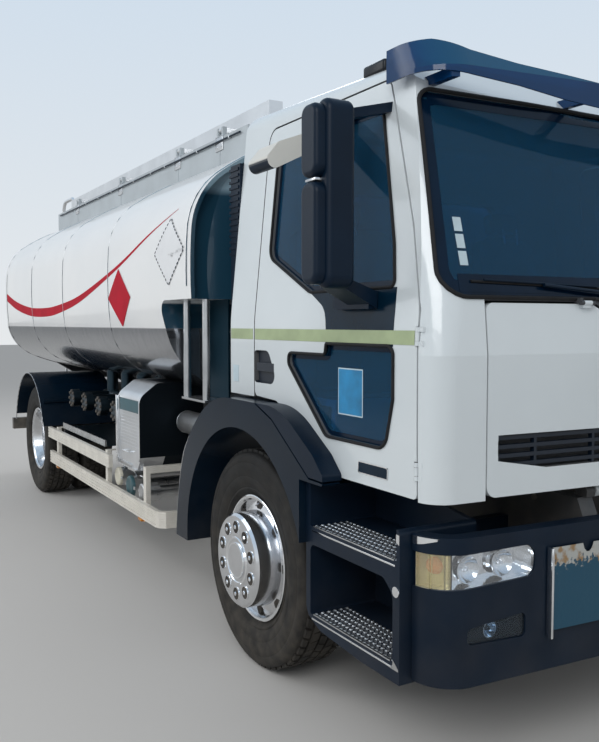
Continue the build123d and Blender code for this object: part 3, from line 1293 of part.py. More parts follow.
wheels()
save("front_axle_beam", front_axle_beam())
left_knuckle = knuckle_left()
save("knuckle_left", left_knuckle)
save("knuckle_right", other_side(left_knuckle))
save("tie_rod", tie_rod())
save("frame_rails", *both(frame_rail()))
save("crossmembers", *crossmembers())
save("leaf_springs", *leaf_springs())
save("rear_axle", rear_axle())
save("engine_block", *engine())
save("drive_shaft", drive_shaft())

cab = cab_pieces()
save("cab_roof", cab["roof"])
save("cab_back_wall", cab["back"])
save("cab_side_panels", *both(cab["quarter"]))
save("cab_front_pillars", *both(cab["pillar"]))
save("cab_front_wall", cab["cowl"])
save("cab_glass", cab["screen_glass"], cab["rear_glass"])
save("cab_floor", cab_floor())
save("seats", *seats())
save("dashboard", dashboard())
save("steering_wheel", steering_wheel())
save("sun_visor", sun_visor())
save("intake_stack", intake_stack())
save("door_right", cab["right_door"])
save("door_left", cab["left_door"])
save("door_glass_right", cab["pane"], cab["kerb_pane"])
save("door_glass_left", other_side(cab["pane"]))
save("door_trim_right", mirror_right(), kerb_mirror(), door_lip())
save("door_trim_left", other_side(mirror_right()), other_side(door_lip()))
save("front_flap", cab["flap"])

save("front_bumper", front_bumper())
save("lamp_units", *lamp_units(), *tail_lamps())
save("entry_steps", *both(entry_steps()))
save("mudguards", *both(front_mudguard()), *both(rear_mudguard()))

save("tank_barrel", tank_barrel())
save("tank_saddles", *tank_saddles())
save("walkway_coaming", walkway_coaming() + hinge_blocks())
save("handrail", handrail())
save("manhole_lids", *manhole_lids())
save("rear_ladder", rear_ladder())
save("meter_cabinet", meter_cabinet())
save("pipework", *niche_pipes(), *outlet_pipework(), drip_tray())
save("side_guards", side_guards(), left_guards())
save("fuel_and_air_tanks", *fuel_and_air_tanks())
save("rear_bumper", rear_bumper())
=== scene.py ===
# %% [markdown]
# # Dressing a two-axle tanker truck
# The solids of this truck come packed with their joints: cab, doors, wheels, tank and rails are
# already at their real size. Here they get what makes them look used and real: paint with a
# little dirt, tread on the tyres, nuts on the wheels, lamps with reflectors, tapes and signs.
# Every length is in metres, with X forward, Y to the left and Z up from the road.
# %% Load the fixed frame
import math
import bmesh
import bpy
from mathutils import Matrix, Vector
from mathutils.bvhtree import BVHTree


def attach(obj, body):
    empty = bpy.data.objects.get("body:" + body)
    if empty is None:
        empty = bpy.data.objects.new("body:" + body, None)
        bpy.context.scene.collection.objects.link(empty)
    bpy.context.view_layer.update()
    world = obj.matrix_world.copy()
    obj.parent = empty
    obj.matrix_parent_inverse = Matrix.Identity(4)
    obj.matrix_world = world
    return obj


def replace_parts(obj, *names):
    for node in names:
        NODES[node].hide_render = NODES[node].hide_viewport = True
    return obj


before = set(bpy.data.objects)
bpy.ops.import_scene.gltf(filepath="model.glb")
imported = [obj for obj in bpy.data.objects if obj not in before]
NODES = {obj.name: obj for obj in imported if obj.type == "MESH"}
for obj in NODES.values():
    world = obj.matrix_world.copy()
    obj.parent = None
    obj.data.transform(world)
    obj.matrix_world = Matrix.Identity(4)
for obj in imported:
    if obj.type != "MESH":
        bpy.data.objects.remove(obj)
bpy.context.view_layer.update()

# %% [markdown]
# Places along a truck are easiest to read from its front axle, so one helper turns such a
# distance into the frame's X. The right side is at negative Y, the left side is its mirror.
# %% Places along the truck
FRONT_AXLE = 2.285
WHEELBASE = 4.73
RIGHT, LEFT = -1, 1


def ahead(x):
    return FRONT_AXLE + x

# %% [markdown]
# Every piece is a plain mesh whose vertices hold its place, so the object itself stays at the
# origin. It rides on a body of the truck.
# %% Pieces, their shading and what they ride on
def add(name, data):
    """A new object at the origin of the scene."""
    piece = bpy.data.objects.new(name, data)
    bpy.context.scene.collection.objects.link(piece)
    return piece


def new_object(name, vertices, faces, material):
    """A mesh object at the origin with its place in its vertices."""
    mesh = bpy.data.meshes.new(name)
    mesh.from_pydata([tuple(v) for v in vertices], [], faces)
    mesh.validate()
    mesh.materials.append(material)
    return add(name, mesh)


def outward(piece, turn_faces=True):
    """Merge doubles and turn every face outwards, before any wall gets its thickness."""
    work = bmesh.new()
    work.from_mesh(piece.data)
    bmesh.ops.remove_doubles(work, verts=work.verts, dist=1e-5)
    if turn_faces:
        bmesh.ops.recalc_face_normals(work, faces=work.faces)
    work.to_mesh(piece.data)
    work.free()
    return piece


def shade(piece, angle=35):
    """Smooth shading that keeps the edges sharper than an angle."""
    for face in piece.data.polygons:
        face.use_smooth = True
    piece.data.set_sharp_from_angle(angle=math.radians(angle))
    return piece


def settle(piece):
    """Apply the modifiers, so that the piece is a plain mesh."""
    graph = bpy.context.evaluated_depsgraph_get()
    mesh = bpy.data.meshes.new_from_object(piece.evaluated_get(graph))
    piece.modifiers.clear()
    if piece.type == "MESH":
        piece.data = mesh
        return piece
    plain = add(piece.name, mesh)
    bpy.data.objects.remove(piece)
    return plain


def carry(piece, body):
    """Let the piece move with a body of the truck."""
    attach(piece, body)
    return piece


def join(name, pieces):
    """One mesh object out of several, each with the materials it had."""
    bpy.ops.object.select_all(action="DESELECT")
    for piece in pieces:
        piece.select_set(True)
    bpy.context.view_layer.objects.active = pieces[0]
    if len(pieces) > 1:
        bpy.ops.object.join()
    pieces[0].name = name
    return pieces[0]


def group(name, pieces, body):
    """Join the pieces and let them ride on a body."""
    return carry(join(name, pieces), body)

# %% [markdown]
# Most small parts are boxes, turned forms or bars along a line, and a few helpers make them. The
# others turn, shift and mirror the vertices of what is made elsewhere.
# %% Boxes, turned forms and bars
def prism(name, base, top, material):
    """A closed form between two outlines that have the same number of corners."""
    count = len(base)
    faces = [tuple(range(count)), tuple(range(count, 2 * count))]
    faces += [(i, (i + 1) % count, count + (i + 1) % count, count + i) for i in range(count)]
    return outward(new_object(name, [*base, *top], faces, material))


def block(name, low, high, material, bevel=0.0, segments=2):
    """A box between two opposite corners with rounded edges."""
    (x0, x1), (y0, y1), (z0, z1) = [sorted(pair) for pair in zip(low, high)]
    base, top = [[(x0, y0, z), (x1, y0, z), (x1, y1, z), (x0, y1, z)] for z in (z0, z1)]
    piece = prism(name, base, top, material)
    if bevel:
        edge = piece.modifiers.new("edge", "BEVEL")
        edge.width = bevel
        edge.segments = segments
        settle(piece)
    return shade(piece, 40)


def slab(name, along, across, up, material, *edge):
    """A box by its ranges: distance from the front axle, Y and Z."""
    return block(name, *zip(map(ahead, along), across, up), material, *edge)


def lathe(name, profile, axis, material, steps=48, centre=(0, 0, 0)):
    """Turn a (radius, distance along the axis) profile about X, Y or Z through a centre."""
    count = len(profile)
    points, faces = [], []
    for step in range(steps):
        turn = 2 * math.pi * step / steps
        c, s = math.cos(turn), math.sin(turn)
        for radius, far in profile:
            point = {"X": (far, radius * c, radius * s), "Y": (radius * c, far, radius * s),
                "Z": (radius * c, radius * s, far)}[axis]
            points.append([centre[i] + point[i] for i in range(3)])
    for step in range(steps):
        here, there = step * count, (step + 1) % steps * count
        for i in range(count):
            j = (i + 1) % count
            if profile[i][0] > 1e-6 or profile[j][0] > 1e-6:
                faces.append((here + i, here + j, there + j, there + i))
    return shade(outward(new_object(name, points, faces, material)))


def tube(name, points, radius, material, closed=False, sides=3):
    """A round bar that follows a line of points."""
    line = bpy.data.curves.new(name, "CURVE")
    line.dimensions = "3D"
    run = line.splines.new("POLY")
    run.points.add(len(points) - 1)
    for point, place in zip(run.points, points):
        point.co = (*place, 1)
    run.use_cyclic_u = closed
    line.bevel_depth = radius
    line.bevel_resolution = sides
    line.use_fill_caps = True
    line.materials.append(material)
    return shade(outward(settle(add(name, line))))


def turned(degrees, axis):
    return Matrix.Rotation(math.radians(degrees), 4, axis)


def moved(x, y, z):
    return Matrix.Translation((x, y, z))


def move(piece, matrix):
    """Move the vertices, so that the object itself stays at the origin."""
    piece.data.transform(matrix)


def mirror(piece):
    """Swap left and right, and turn the faces out again."""
    move(piece, Matrix.Scale(-1, 4, (0, 1, 0)))
    piece.data.flip_normals()


def on_circle(degrees, radius=1.0):
    turn = math.radians(degrees)
    return Vector((math.cos(turn), math.sin(turn))) * radius

# %% [markdown]
# The camera stands where the photographer stood: beside the right front corner, at eye height,
# looking back along the tank. Its place and lens were solved from known sizes, such as the
# wheels and the wheelbase, so the render lines up with the photograph.
# %% Camera
CAMERA_PLACE = Vector((ahead(3.488), -2.885, 1.645))
YAW, PITCH = math.radians(150.36), math.radians(-3.32)
look = Vector((math.cos(PITCH) * math.cos(YAW), math.cos(PITCH) * math.sin(YAW), math.sin(PITCH)))
camera_data = bpy.data.cameras.new("camera")
camera_data.lens = 39.87
camera_data.sensor_width = 36
camera_data.clip_end = 200
camera = add("camera", camera_data)
camera.location = CAMERA_PLACE
camera.rotation_euler = look.to_track_quat("-Z", "Y").to_euler()
bpy.context.scene.camera = camera
print("camera looks along", tuple(round(v, 3) for v in look))

# %% [markdown]
# A studio floor and a pale surround show the truck plainly. The world lights evenly from all
# sides, and two broad lamps give the panels a brighter and a darker side. Glossy and glass
# surfaces see the same pale surround that the camera sees.
# %% Floor, world and lamps
def wired(tree, kind, sockets=None, **settings):
    """Add a node to a tree, set it up, and link or fill its sockets."""
    made = tree.nodes.new(kind)
    for key, value in settings.items():
        setattr(made, key, value)
    for key, value in (sockets or {}).items():
        if isinstance(value, bpy.types.NodeSocket):
            tree.links.new(value, made.inputs[key])
        else:
            made.inputs[key].default_value = value
    return made


def sockets_of(material):
    return material.node_tree.nodes["Principled BSDF"].inputs


def set_plain(material, values):
    """Numbers and colours that are the same all over sit on the shader's own sockets."""
    for socket, value in values.items():
        sockets_of(material)[socket].default_value = value


def plain_material(name, colour, rough):
    material = bpy.data.materials.new(name)
    material.use_nodes = True
    set_plain(material, {"Base Color": (*colour, 1), "Roughness": rough})
    return material


floor = new_object("floor", [(-60, -60, -0.001), (60, -60, -0.001), (60, 60, -0.001), (-60, 60, -0.001)],
    [(0, 1, 2, 3)], plain_material("floor_paint", (0.62, 0.61, 0.59), 0.85))

world = bpy.data.worlds.new("studio")
bpy.context.scene.world = world
world.use_nodes = True
sky = world.node_tree


def sky_node(kind, sockets, **settings):
    return wired(sky, "ShaderNode" + kind, sockets, **settings)


ambient = sky.nodes["Background"]
ambient.inputs["Color"].default_value = (0.93, 0.96, 1.0, 1)
ambient.inputs["Strength"].default_value = 0.5
upward = sky_node("SeparateXYZ", {0: sky_node("TexCoord", {}).outputs["Generated"]}).outputs["Z"]
fade = sky_node("MapRange", {"Value": upward, "From Min": -0.05, "From Max": 0.7}).outputs["Result"]
tint = sky_node("Mix", {0: fade, 6: (0.80, 0.82, 0.83, 1), 7: (0.50, 0.66, 0.84, 1)}, data_type="RGBA")
shown = sky_node("Background", {"Color": tint.outputs[2], "Strength": 1.0})
path = sky_node("LightPath", {}).outputs
either = sky_node("Math", {0: path["Is Camera Ray"], 1: path["Is Glossy Ray"]}, operation="MAXIMUM")
any_of = sky_node("Math", {0: either.outputs[0], 1: path["Is Transmission Ray"]}, operation="MAXIMUM")
choose = sky_node("MixShader", {0: any_of.outputs[0], 1: ambient.outputs[0], 2: shown.outputs[0]})
sky.links.new(choose.outputs[0], sky.nodes["World Output"].inputs["Surface"])

for name, place, size, power in [("key_lamp", (9.0, -7.5, 7.0), 5.0, 400),
        ("side_lamp", (-3.0, -9.0, 5.5), 6.0, 250), ("back_lamp", (-7.0, 7.0, 7.0), 6.0, 300)]:
    light = bpy.data.lights.new(name, "AREA")
    light.size = size
    light.energy = power
    lamp = add(name, light)
    lamp.location = place
    lamp.rotation_euler = (Vector((0, 0, 1.2)) - Vector(place)).to_track_quat("-Z", "Y").to_euler()
bpy.context.scene.view_settings.view_transform = "Standard"

# %% [markdown]
# Every finish starts from one shader and gets its detail from a few nodes on the piece's own
# Object coordinates, which are the truck's coordinates because each piece keeps its place in its
# mesh. These helpers make the nodes that most finishes share: specks, ranges, blends and relief.
# %% Helpers for the finishes
ROAD_DUST = (0.34, 0.29, 0.23)
# Near black for painted shade in recesses.
PAINTED_RECESS_SHADE = (0.003, 0.009, 0.020)
# Dark grey-blue for painted shade on parts deep under the body.
DEEP_SHADE = (0.012, 0.018, 0.024)
MIRROR_LEVEL = "Specular IOR Level"


def node(material, kind, sockets=None, **settings):
    return wired(material.node_tree, "ShaderNode" + kind, sockets, **settings)


def finish(name, colour, rough, metal=0.0, coat=0.0):
    material = plain_material(name, colour, rough)
    set_plain(material, {"Metallic": metal, "Coat Weight": coat})
    if max(colour) < 0.03:
        set_plain(material, {MIRROR_LEVEL: 0.18})
    return material


def feed(material, socket, source):
    material.node_tree.links.new(source, sockets_of(material)[socket])


def coords(material, stretch=None):
    where = node(material, "TexCoord").outputs["Object"]
    if stretch:
        where = node(material, "Mapping", {"Vector": where, "Scale": stretch}).outputs[0]
    return where


def specks(material, scale, detail, stretch=None):
    return node(material, "TexNoise", {"Vector": coords(material, stretch), "Scale": scale,
        "Detail": detail}).outputs["Fac"]


def ranged(material, value, low, high, to_low=0.0, to_high=1.0):
    return node(material, "MapRange", {"Value": value, "From Min": low, "From Max": high, "To Min": to_low,
        "To Max": to_high}).outputs["Result"]


def times(material, first, second, operation="MULTIPLY"):
    return node(material, "Math", {0: first, 1: second}, operation=operation).outputs[0]


def mixed(material, factor, first, second):
    """Blend two colours, each a tuple or a socket."""
    first, second = [(*c, 1) if isinstance(c, tuple) else c for c in (first, second)]
    return node(material, "Mix", {0: factor, 6: first, 7: second}, data_type="RGBA").outputs[2]


def axis_of(material, axis, output="Object"):
    where = node(material, "TexCoord").outputs[output]
    return node(material, "SeparateXYZ", {0: where}).outputs[axis]


def relief(material, height, distance, strength):
    bump = node(material, "Bump", {"Height": height, "Distance": distance, "Strength": strength})
    feed(material, "Normal", bump.outputs["Normal"])


def weather(material, colour, rough, dust, top, scale=6.0, spread=0.05):
    """Uneven colour, and road dust that thickens towards the ground."""
    low = tuple(c * (1 - spread) for c in colour) if isinstance(colour, tuple) else colour
    high = tuple(min(1, c * (1 + spread)) for c in colour) if isinstance(colour, tuple) else colour
    varied = mixed(material, ranged(material, specks(material, scale, 4), 0.3, 0.7), low, high)
    near_road = ranged(material, axis_of(material, "Z"), top, 0.25)
    patches = ranged(material, specks(material, scale * 1.7, 6), 0.32, 0.72, 0.25, 1.0)
    mask = times(material, times(material, near_road, patches), dust)
    feed(material, "Base Color", mixed(material, mask, varied, ROAD_DUST))
    feed(material, "Roughness", ranged(material, mask, 0, 0.8, rough, min(0.9, rough + 0.4)))
    return mask


def worn(name, colour, rough, grain, metal=0.0, **wear):
    """A finish with dust and a fine relief: scale and detail of its noise, depth, strength."""
    material = finish(name, colour, rough, metal)
    weather(material, colour, rough, **wear)
    scale, detail, distance, strength, *stretch = grain
    relief(material, specks(material, scale, detail, *stretch), distance, strength)
    return material


def ribbed(material, scale, axis, distance, strength):
    wave = node(material, "TexWave", {"Vector": coords(material), "Scale": scale}, bands_direction=axis)
    relief(material, wave.outputs["Fac"], distance, strength)


def inner_side(material, centre):
    """1 on faces that look towards a centre, 0 on those that look away from it."""
    place = node(material, "TexCoord")
    away = node(material, "VectorMath", {0: place.outputs["Object"], 1: centre}, operation="SUBTRACT")
    facing = node(material, "VectorMath", {0: away.outputs[0], 1: place.outputs["Normal"]},
        operation="DOT_PRODUCT")
    return ranged(material, facing.outputs["Value"], -0.02, 0.02, 1.0, 0.0)

# %% [markdown]
# The cab is painted gloss white and lined inside with dark grey cloth and plastic. One material
# does both: a face that looks towards the middle of the cab is lining, the rest is paint. The
# paint has a clear coat, a faint orange peel and a film of dust low down. Its white is given as a
# bluish grey, which is painted shade.
# %% Cab paint and lining
CAB_MIDDLE = (ahead(0.5), 0.0, 1.9)
cab_paint = finish("cab_paint", (0.86, 0.87, 0.87), 0.22, coat=0.6)
# The paint's bluish grey is painted shade: the white as it looks in sky shade.
weather(cab_paint, (0.66, 0.72, 0.75), 0.2, dust=0.25, top=1.35, scale=2.0, spread=0.03)
painted = sockets_of(cab_paint)["Base Color"].links[0].from_socket
lining = inner_side(cab_paint, CAB_MIDDLE)
feed(cab_paint, "Base Color", mixed(cab_paint, lining, painted, (0.11, 0.115, 0.12)))
feed(cab_paint, "Roughness", ranged(cab_paint, lining, 0, 1, 0.2, 0.8))
relief(cab_paint, specks(cab_paint, 260, 2), 0.0006, 0.12)

# %% [markdown]
# The tank is white above and bare polished metal below a straight line along its side. The
# metal is darker than bare aluminium, as painted shade. Its front end, in the shade behind the cab,
# gets painted shade: dark blue low down and a lighter blue-grey at the top as a painted reflection.
# Fine streaks run down the belly.
# %% Tank paint and bare belly
PAINT_LINE = 1.615
tank_paint = finish("tank_paint", (0.84, 0.85, 0.85), 0.25, coat=0.4)
belly = ranged(tank_paint, axis_of(tank_paint, "Z"), PAINT_LINE + 0.004, PAINT_LINE - 0.004)
front_end = ranged(tank_paint, axis_of(tank_paint, "X", "Normal"), 0.6, 0.75)
white = mixed(tank_paint, ranged(tank_paint, specks(tank_paint, 1.4, 5), 0.35, 0.7), (0.80, 0.82, 0.83),
    (0.86, 0.87, 0.87))
# Painted shade on the tank's front end: near black-blue below 2.33 m, and a painted reflection in lighter
# blue-grey above 2.37 m.
head_painted_shade = mixed(tank_paint, ranged(tank_paint, axis_of(tank_paint, "Z"), 2.33, 2.37), (0.012, 0.05, 0.085),
    (0.22, 0.33, 0.40))
white = mixed(tank_paint, front_end, white, head_painted_shade)
streaks = specks(tank_paint, 5, 5, stretch=(6.0, 6.0, 0.6))
# The belly's metal is darker than polished aluminium: painted shade of the dark surroundings it reflects.
shaded_belly_metal = mixed(tank_paint, ranged(tank_paint, streaks, 0.35, 0.7), (0.22, 0.23, 0.25), (0.30, 0.31, 0.33))
feed(tank_paint, "Base Color", mixed(tank_paint, belly, white, shaded_belly_metal))
feed(tank_paint, "Metallic", times(tank_paint, belly, 0.9))
feed(tank_paint, "Roughness", ranged(tank_paint, belly, 0, 1, 0.22, 0.17))
relief(tank_paint, specks(tank_paint, 3.0, 2), 0.004, 0.12)

# %% [markdown]
# Under the body everything is steel with a satin black coat, cast parts with a coarse skin, and
# aluminium with fine brushing. The dust helper puts dried mud low on all of them.
# %% Chassis and metal finishes
chassis_paint = worn("chassis_paint", (0.035, 0.038, 0.042), 0.42, (90, 4, 0.002, 0.2), dust=0.55, top=1.15,
    scale=7)
cast_steel = worn("cast_steel", (0.10, 0.09, 0.08), 0.55, (140, 5, 0.003, 0.4), 0.4, dust=0.6, top=1.2,
    scale=12, spread=0.3)
bright_steel = worn("bright_steel", (0.56, 0.57, 0.58), 0.24, (60, 3, 0.001, 0.12, (1, 8, 8)), 0.95, dust=0.35,
    top=1.0, scale=8, spread=0.12)
aluminium = worn("aluminium", (0.70, 0.71, 0.72), 0.3, (30, 4, 0.0012, 0.18, (0.6, 12, 12)), 0.9, dust=0.3,
    top=0.9, scale=5, spread=0.08)
rim_metal = worn("rim_metal", (0.74, 0.75, 0.77), 0.14, (24, 3, 0.0012, 0.1), 1.0, dust=0.25, top=0.8, scale=14,
    spread=0.06)
pale_alloy = finish("pale_alloy", (0.80, 0.77, 0.70), 0.4, metal=0.3)
weather(pale_alloy, (0.80, 0.77, 0.70), 0.4, dust=0.3, top=0.8, scale=9, spread=0.08)
ribbed(pale_alloy, 22, "Z", 0.002, 0.4)
chrome = finish("chrome", (0.86, 0.87, 0.88), 0.07, metal=1.0)
feed(chrome, "Roughness", ranged(chrome, specks(chrome, 30, 3), 0.3, 0.8, 0.05, 0.16))

# %% [markdown]
# Moulded plastic on bumper, steps and wheel arches is dark grey with a fine leathery grain that
# fades to a greyer tone where dust has settled. Rubber is blacker, and dust sits in its sides.
# %% Plastic, rubber and glass finishes
dark_plastic = worn("dark_plastic", (0.002, 0.010, 0.024), 0.38, (420, 3, 0.0012, 0.3), dust=0.05, top=1.2,
    scale=4, spread=0.15)
arch_plastic = worn("arch_plastic", (0.002, 0.010, 0.022), 0.22, (200, 2, 0.0006, 0.15), dust=0.08, top=1.0,
    scale=4, spread=0.15)
black_rubber = worn("black_rubber", (0.014, 0.014, 0.015), 0.6, (200, 3, 0.001, 0.25), dust=0.3, top=1.1,
    scale=15, spread=0.2)
tyre_rubber = worn("tyre_rubber", (0.011, 0.012, 0.013), 0.66, (120, 4, 0.0015, 0.3), dust=0.16, top=1.25,
    scale=9, spread=0.25)


def clear_glass(name, colour, rough=0.02, through=0.92, ior=1.5):
    material = finish(name, colour, rough)
    set_plain(material, {"Transmission Weight": through, "IOR": ior})
    return material


cab_glass = clear_glass("cab_glass", (0.05, 0.24, 0.44), 0.02, 0.86, 1.22)
feed(cab_glass, "Roughness", ranged(cab_glass, specks(cab_glass, 6, 5), 0.45, 0.8, 0.01, 0.08))
clear_lens = clear_glass("clear_lens", (0.93, 0.95, 0.97))
ribbed(clear_lens, 22, "Y", 0.001, 0.3)
amber_lens = clear_glass("amber_lens", (1.0, 0.42, 0.04), 0.12, 0.7)
red_lens = clear_glass("red_lens", (0.55, 0.01, 0.01), 0.12, 0.6)
visor_tint = clear_glass("visor_tint", (0.003, 0.055, 0.15), 0.06, 0.2)
# Faces that look up get a lighter blue than faces that look down: painted light on the visor's top.
lit = ranged(visor_tint, axis_of(visor_tint, "Z", "Normal"), 0.15, 0.75)
feed(visor_tint, "Base Color", mixed(visor_tint, lit, (0.002, 0.040, 0.135), (0.012, 0.11, 0.19)))
set_plain(visor_tint, {MIRROR_LEVEL: 0.3})
feed(visor_tint, "Roughness", ranged(visor_tint, specks(visor_tint, 8, 4), 0.4, 0.8, 0.04, 0.14))

seat_cloth = finish("seat_cloth", (0.07, 0.08, 0.10), 0.9)
weave = node(seat_cloth, "TexChecker", {"Vector": coords(seat_cloth), "Scale": 260})
feed(seat_cloth, "Base Color", mixed(seat_cloth, weave.outputs["Fac"], (0.05, 0.06, 0.08), (0.09, 0.10, 0.13)))
relief(seat_cloth, weave.outputs["Fac"], 0.001, 0.3)
trim_plastic = finish("trim_plastic", (0.05, 0.053, 0.058), 0.6)
relief(trim_plastic, specks(trim_plastic, 300, 3), 0.001, 0.3)

# %% [markdown]
# The solids whose shape is already right keep it and only get their finish.
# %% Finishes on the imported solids
FINISHES = {
    chassis_paint: ["frame_rails", "crossmembers", "tank_saddles", "rear_bumper"],
    cast_steel: ["front_axle_beam", "rear_axle", "leaf_springs", "engine_block", "knuckle_right",
                 "knuckle_left", "tie_rod"],
    bright_steel: ["drive_shaft", "pipework"],
    aluminium: ["fuel_and_air_tanks", "manhole_lids", "rear_ladder", "meter_cabinet", "handrail"],
    pale_alloy: ["side_guards"],
    rim_metal: ["rim_front_right", "rim_front_left", "rims_rear_right", "rims_rear_left"],
    dark_plastic: ["front_bumper", "entry_steps", "intake_stack", "lamp_units"],
    arch_plastic: ["mudguards"],
    tyre_rubber: ["tyre_front_right", "tyre_front_left", "tyres_rear_right", "tyres_rear_left"],
    tank_paint: ["tank_barrel", "walkway_coaming"],
    cab_paint: ["cab_floor", "cab_back_wall", "cab_roof", "cab_side_panels", "cab_front_pillars"],
    trim_plastic: ["cab_front_wall", "dashboard", "steering_wheel"],
    seat_cloth: ["seats"],
    cab_glass: ["cab_glass", "door_glass_right", "door_glass_left"],
    visor_tint: ["sun_visor"],
}


def dress(material, *names):
    for name in names:
        NODES[name].material_slots[0].material = material


for material, names in FINISHES.items():
    dress(material, *names)
print("solids with their finish:", sum(len(names) for names in FINISHES.values()))

# %% [markdown]
# Nuts, tread blocks, teeth and brackets all repeat one small item, so three short node trees
# cover them: around a ring, along a line and over a grid. Each tree has named inputs for its
# item, counts and sizes, turns its instances into real geometry and sets their material.
# %% Node trees that repeat an item
def repeating(name, sockets, points_of):
    """A tree that puts its item on points, makes it real geometry and sets its material."""
    tree = bpy.data.node_groups.new(name, "GeometryNodeTree")
    tree.interface.new_socket("Geometry", in_out="OUTPUT", socket_type="NodeSocketGeometry")
    for label, kind in [("Item", "Object"), ("Material", "Material")] + sockets:
        tree.interface.new_socket(label, in_out="INPUT", socket_type="NodeSocket" + kind)
    enter = tree.nodes.new("NodeGroupInput").outputs
    placed = points_of(tree, enter)
    placed["Instance"] = wired(tree, "GeometryNodeObjectInfo", {"Object": enter["Item"]}).outputs["Geometry"]
    copies = wired(tree, "GeometryNodeInstanceOnPoints", placed)
    real = wired(tree, "GeometryNodeRealizeInstances", {"Geometry": copies.outputs[0]})
    paint = wired(tree, "GeometryNodeSetMaterial", {"Geometry": real.outputs[0], "Material": enter["Material"]})
    wired(tree, "NodeGroupOutput", {"Geometry": paint.outputs[0]})
    return tree


def on_ring(tree, enter):
    circle = wired(tree, "GeometryNodeMeshCircle", {"Vertices": enter["Count"], "Radius": enter["Radius"]})
    spot = tree.nodes.new("GeometryNodeInputPosition").outputs[0]
    turn = wired(tree, "FunctionNodeAlignRotationToVector", {"Vector": spot}, axis="X", pivot_axis="Z")
    return {"Points": circle.outputs["Mesh"], "Rotation": turn.outputs["Rotation"]}


def on_line(tree, enter):
    line = wired(tree, "GeometryNodeMeshLine", {"Count": enter["Count"], "Start Location": enter["Start"],
        "Offset": enter["End"]}, mode="END_POINTS")
    return {"Points": line.outputs["Mesh"]}


def on_grid(tree, enter):
    grid = wired(tree, "GeometryNodeMeshGrid", {"Size X": enter["Length"], "Size Y": enter["Width"],
        "Vertices X": enter["Rows"], "Vertices Y": enter["Columns"]})
    shifted = wired(tree, "GeometryNodeTransform", {"Geometry": grid.outputs["Mesh"],
        "Translation": enter["Middle"]})
    return {"Points": shifted.outputs["Geometry"]}


ring_tree = repeating("repeat_on_ring", [("Count", "Int"), ("Radius", "Float")], on_ring)
row_tree = repeating("repeat_on_line", [("Count", "Int"), ("Start", "Vector"), ("End", "Vector")], on_line)
grid_tree = repeating("repeat_on_grid", [("Length", "Float"), ("Width", "Float"), ("Rows", "Int"),
    ("Columns", "Int"), ("Middle", "Vector")], on_grid)


def repeat(name, tree, item, material, **values):
    """Run a tree once and keep its result as a plain mesh."""
    host = new_object(name, [], [], material)
    step = host.modifiers.new("repeat", "NODES")
    step.node_group = tree
    values.update(Item=item, Material=material)
    for socket in tree.interface.items_tree:
        if socket.in_out == "INPUT":
            step[socket.identifier] = values[socket.name]
    return settle(host)


def drop(*items):
    for item in items:
        bpy.data.objects.remove(item)

# %% [markdown]
# A wheel is made once about its own axle, with Y pointing outwards, and then moved to its place.
# The right side is the mirror of the left, so its faces are turned back after mirroring.
# %% Moving a wheel piece to its place
TRACK = 1.03
AXLE_Z = 0.522
DUAL = 0.33
WHEELS = [
    # body, tyre node, distance from the front axle, side, outward places of its tyres
    ("wheel_front_right", "tyre_front_right", 0.0, RIGHT, [TRACK]),
    ("wheel_front_left", "tyre_front_left", 0.0, LEFT, [TRACK]),
    ("wheel_rear_right", "tyres_rear_right", -WHEELBASE, RIGHT, [TRACK, TRACK - DUAL]),
    ("wheel_rear_left", "tyres_rear_left", -WHEELBASE, LEFT, [TRACK, TRACK - DUAL]),
]


def copy_of(piece, name):
    twin = piece.copy()
    twin.data = piece.data.copy()
    twin.name = name
    bpy.context.scene.collection.objects.link(twin)
    return twin


def to_axle(piece, x, side, out):
    """Move a piece made about Y at the origin to an axle's end."""
    move(piece, moved(0, out, 0))
    if side == RIGHT:
        mirror(piece)
    move(piece, moved(ahead(x), 0, AXLE_Z))
    return piece

# %% [markdown]
# A lorry tyre has straight ribs with zigzag edges around it and short blocks at its shoulders.
# The carcass is turned from its section, with rings on the side wall, and the tread blocks are
# repeated around it by the ring tree, every second rib half a pitch further round.
# %% Tyres
SIDE_WALL = [
    # radius, distance from the tyre's middle
    (0.2915, 0.1035), (0.303, 0.1045), (0.316, 0.117), (0.328, 0.1295), (0.334, 0.1298), (0.338, 0.127),
    (0.346, 0.131), (0.36, 0.1365), (0.385, 0.1425), (0.392, 0.1408), (0.398, 0.1432), (0.43, 0.1443),
    (0.452, 0.1428), (0.458, 0.1405), (0.464, 0.1422), (0.482, 0.139), (0.494, 0.1335), (0.502, 0.128),
    (0.507, 0.118), (0.509, 0.1),
]
section = [(r, -y) for r, y in SIDE_WALL] + [(r, y) for r, y in reversed(SIDE_WALL)]
carcass = lathe("carcass", section, "Y", tyre_rubber, 72)

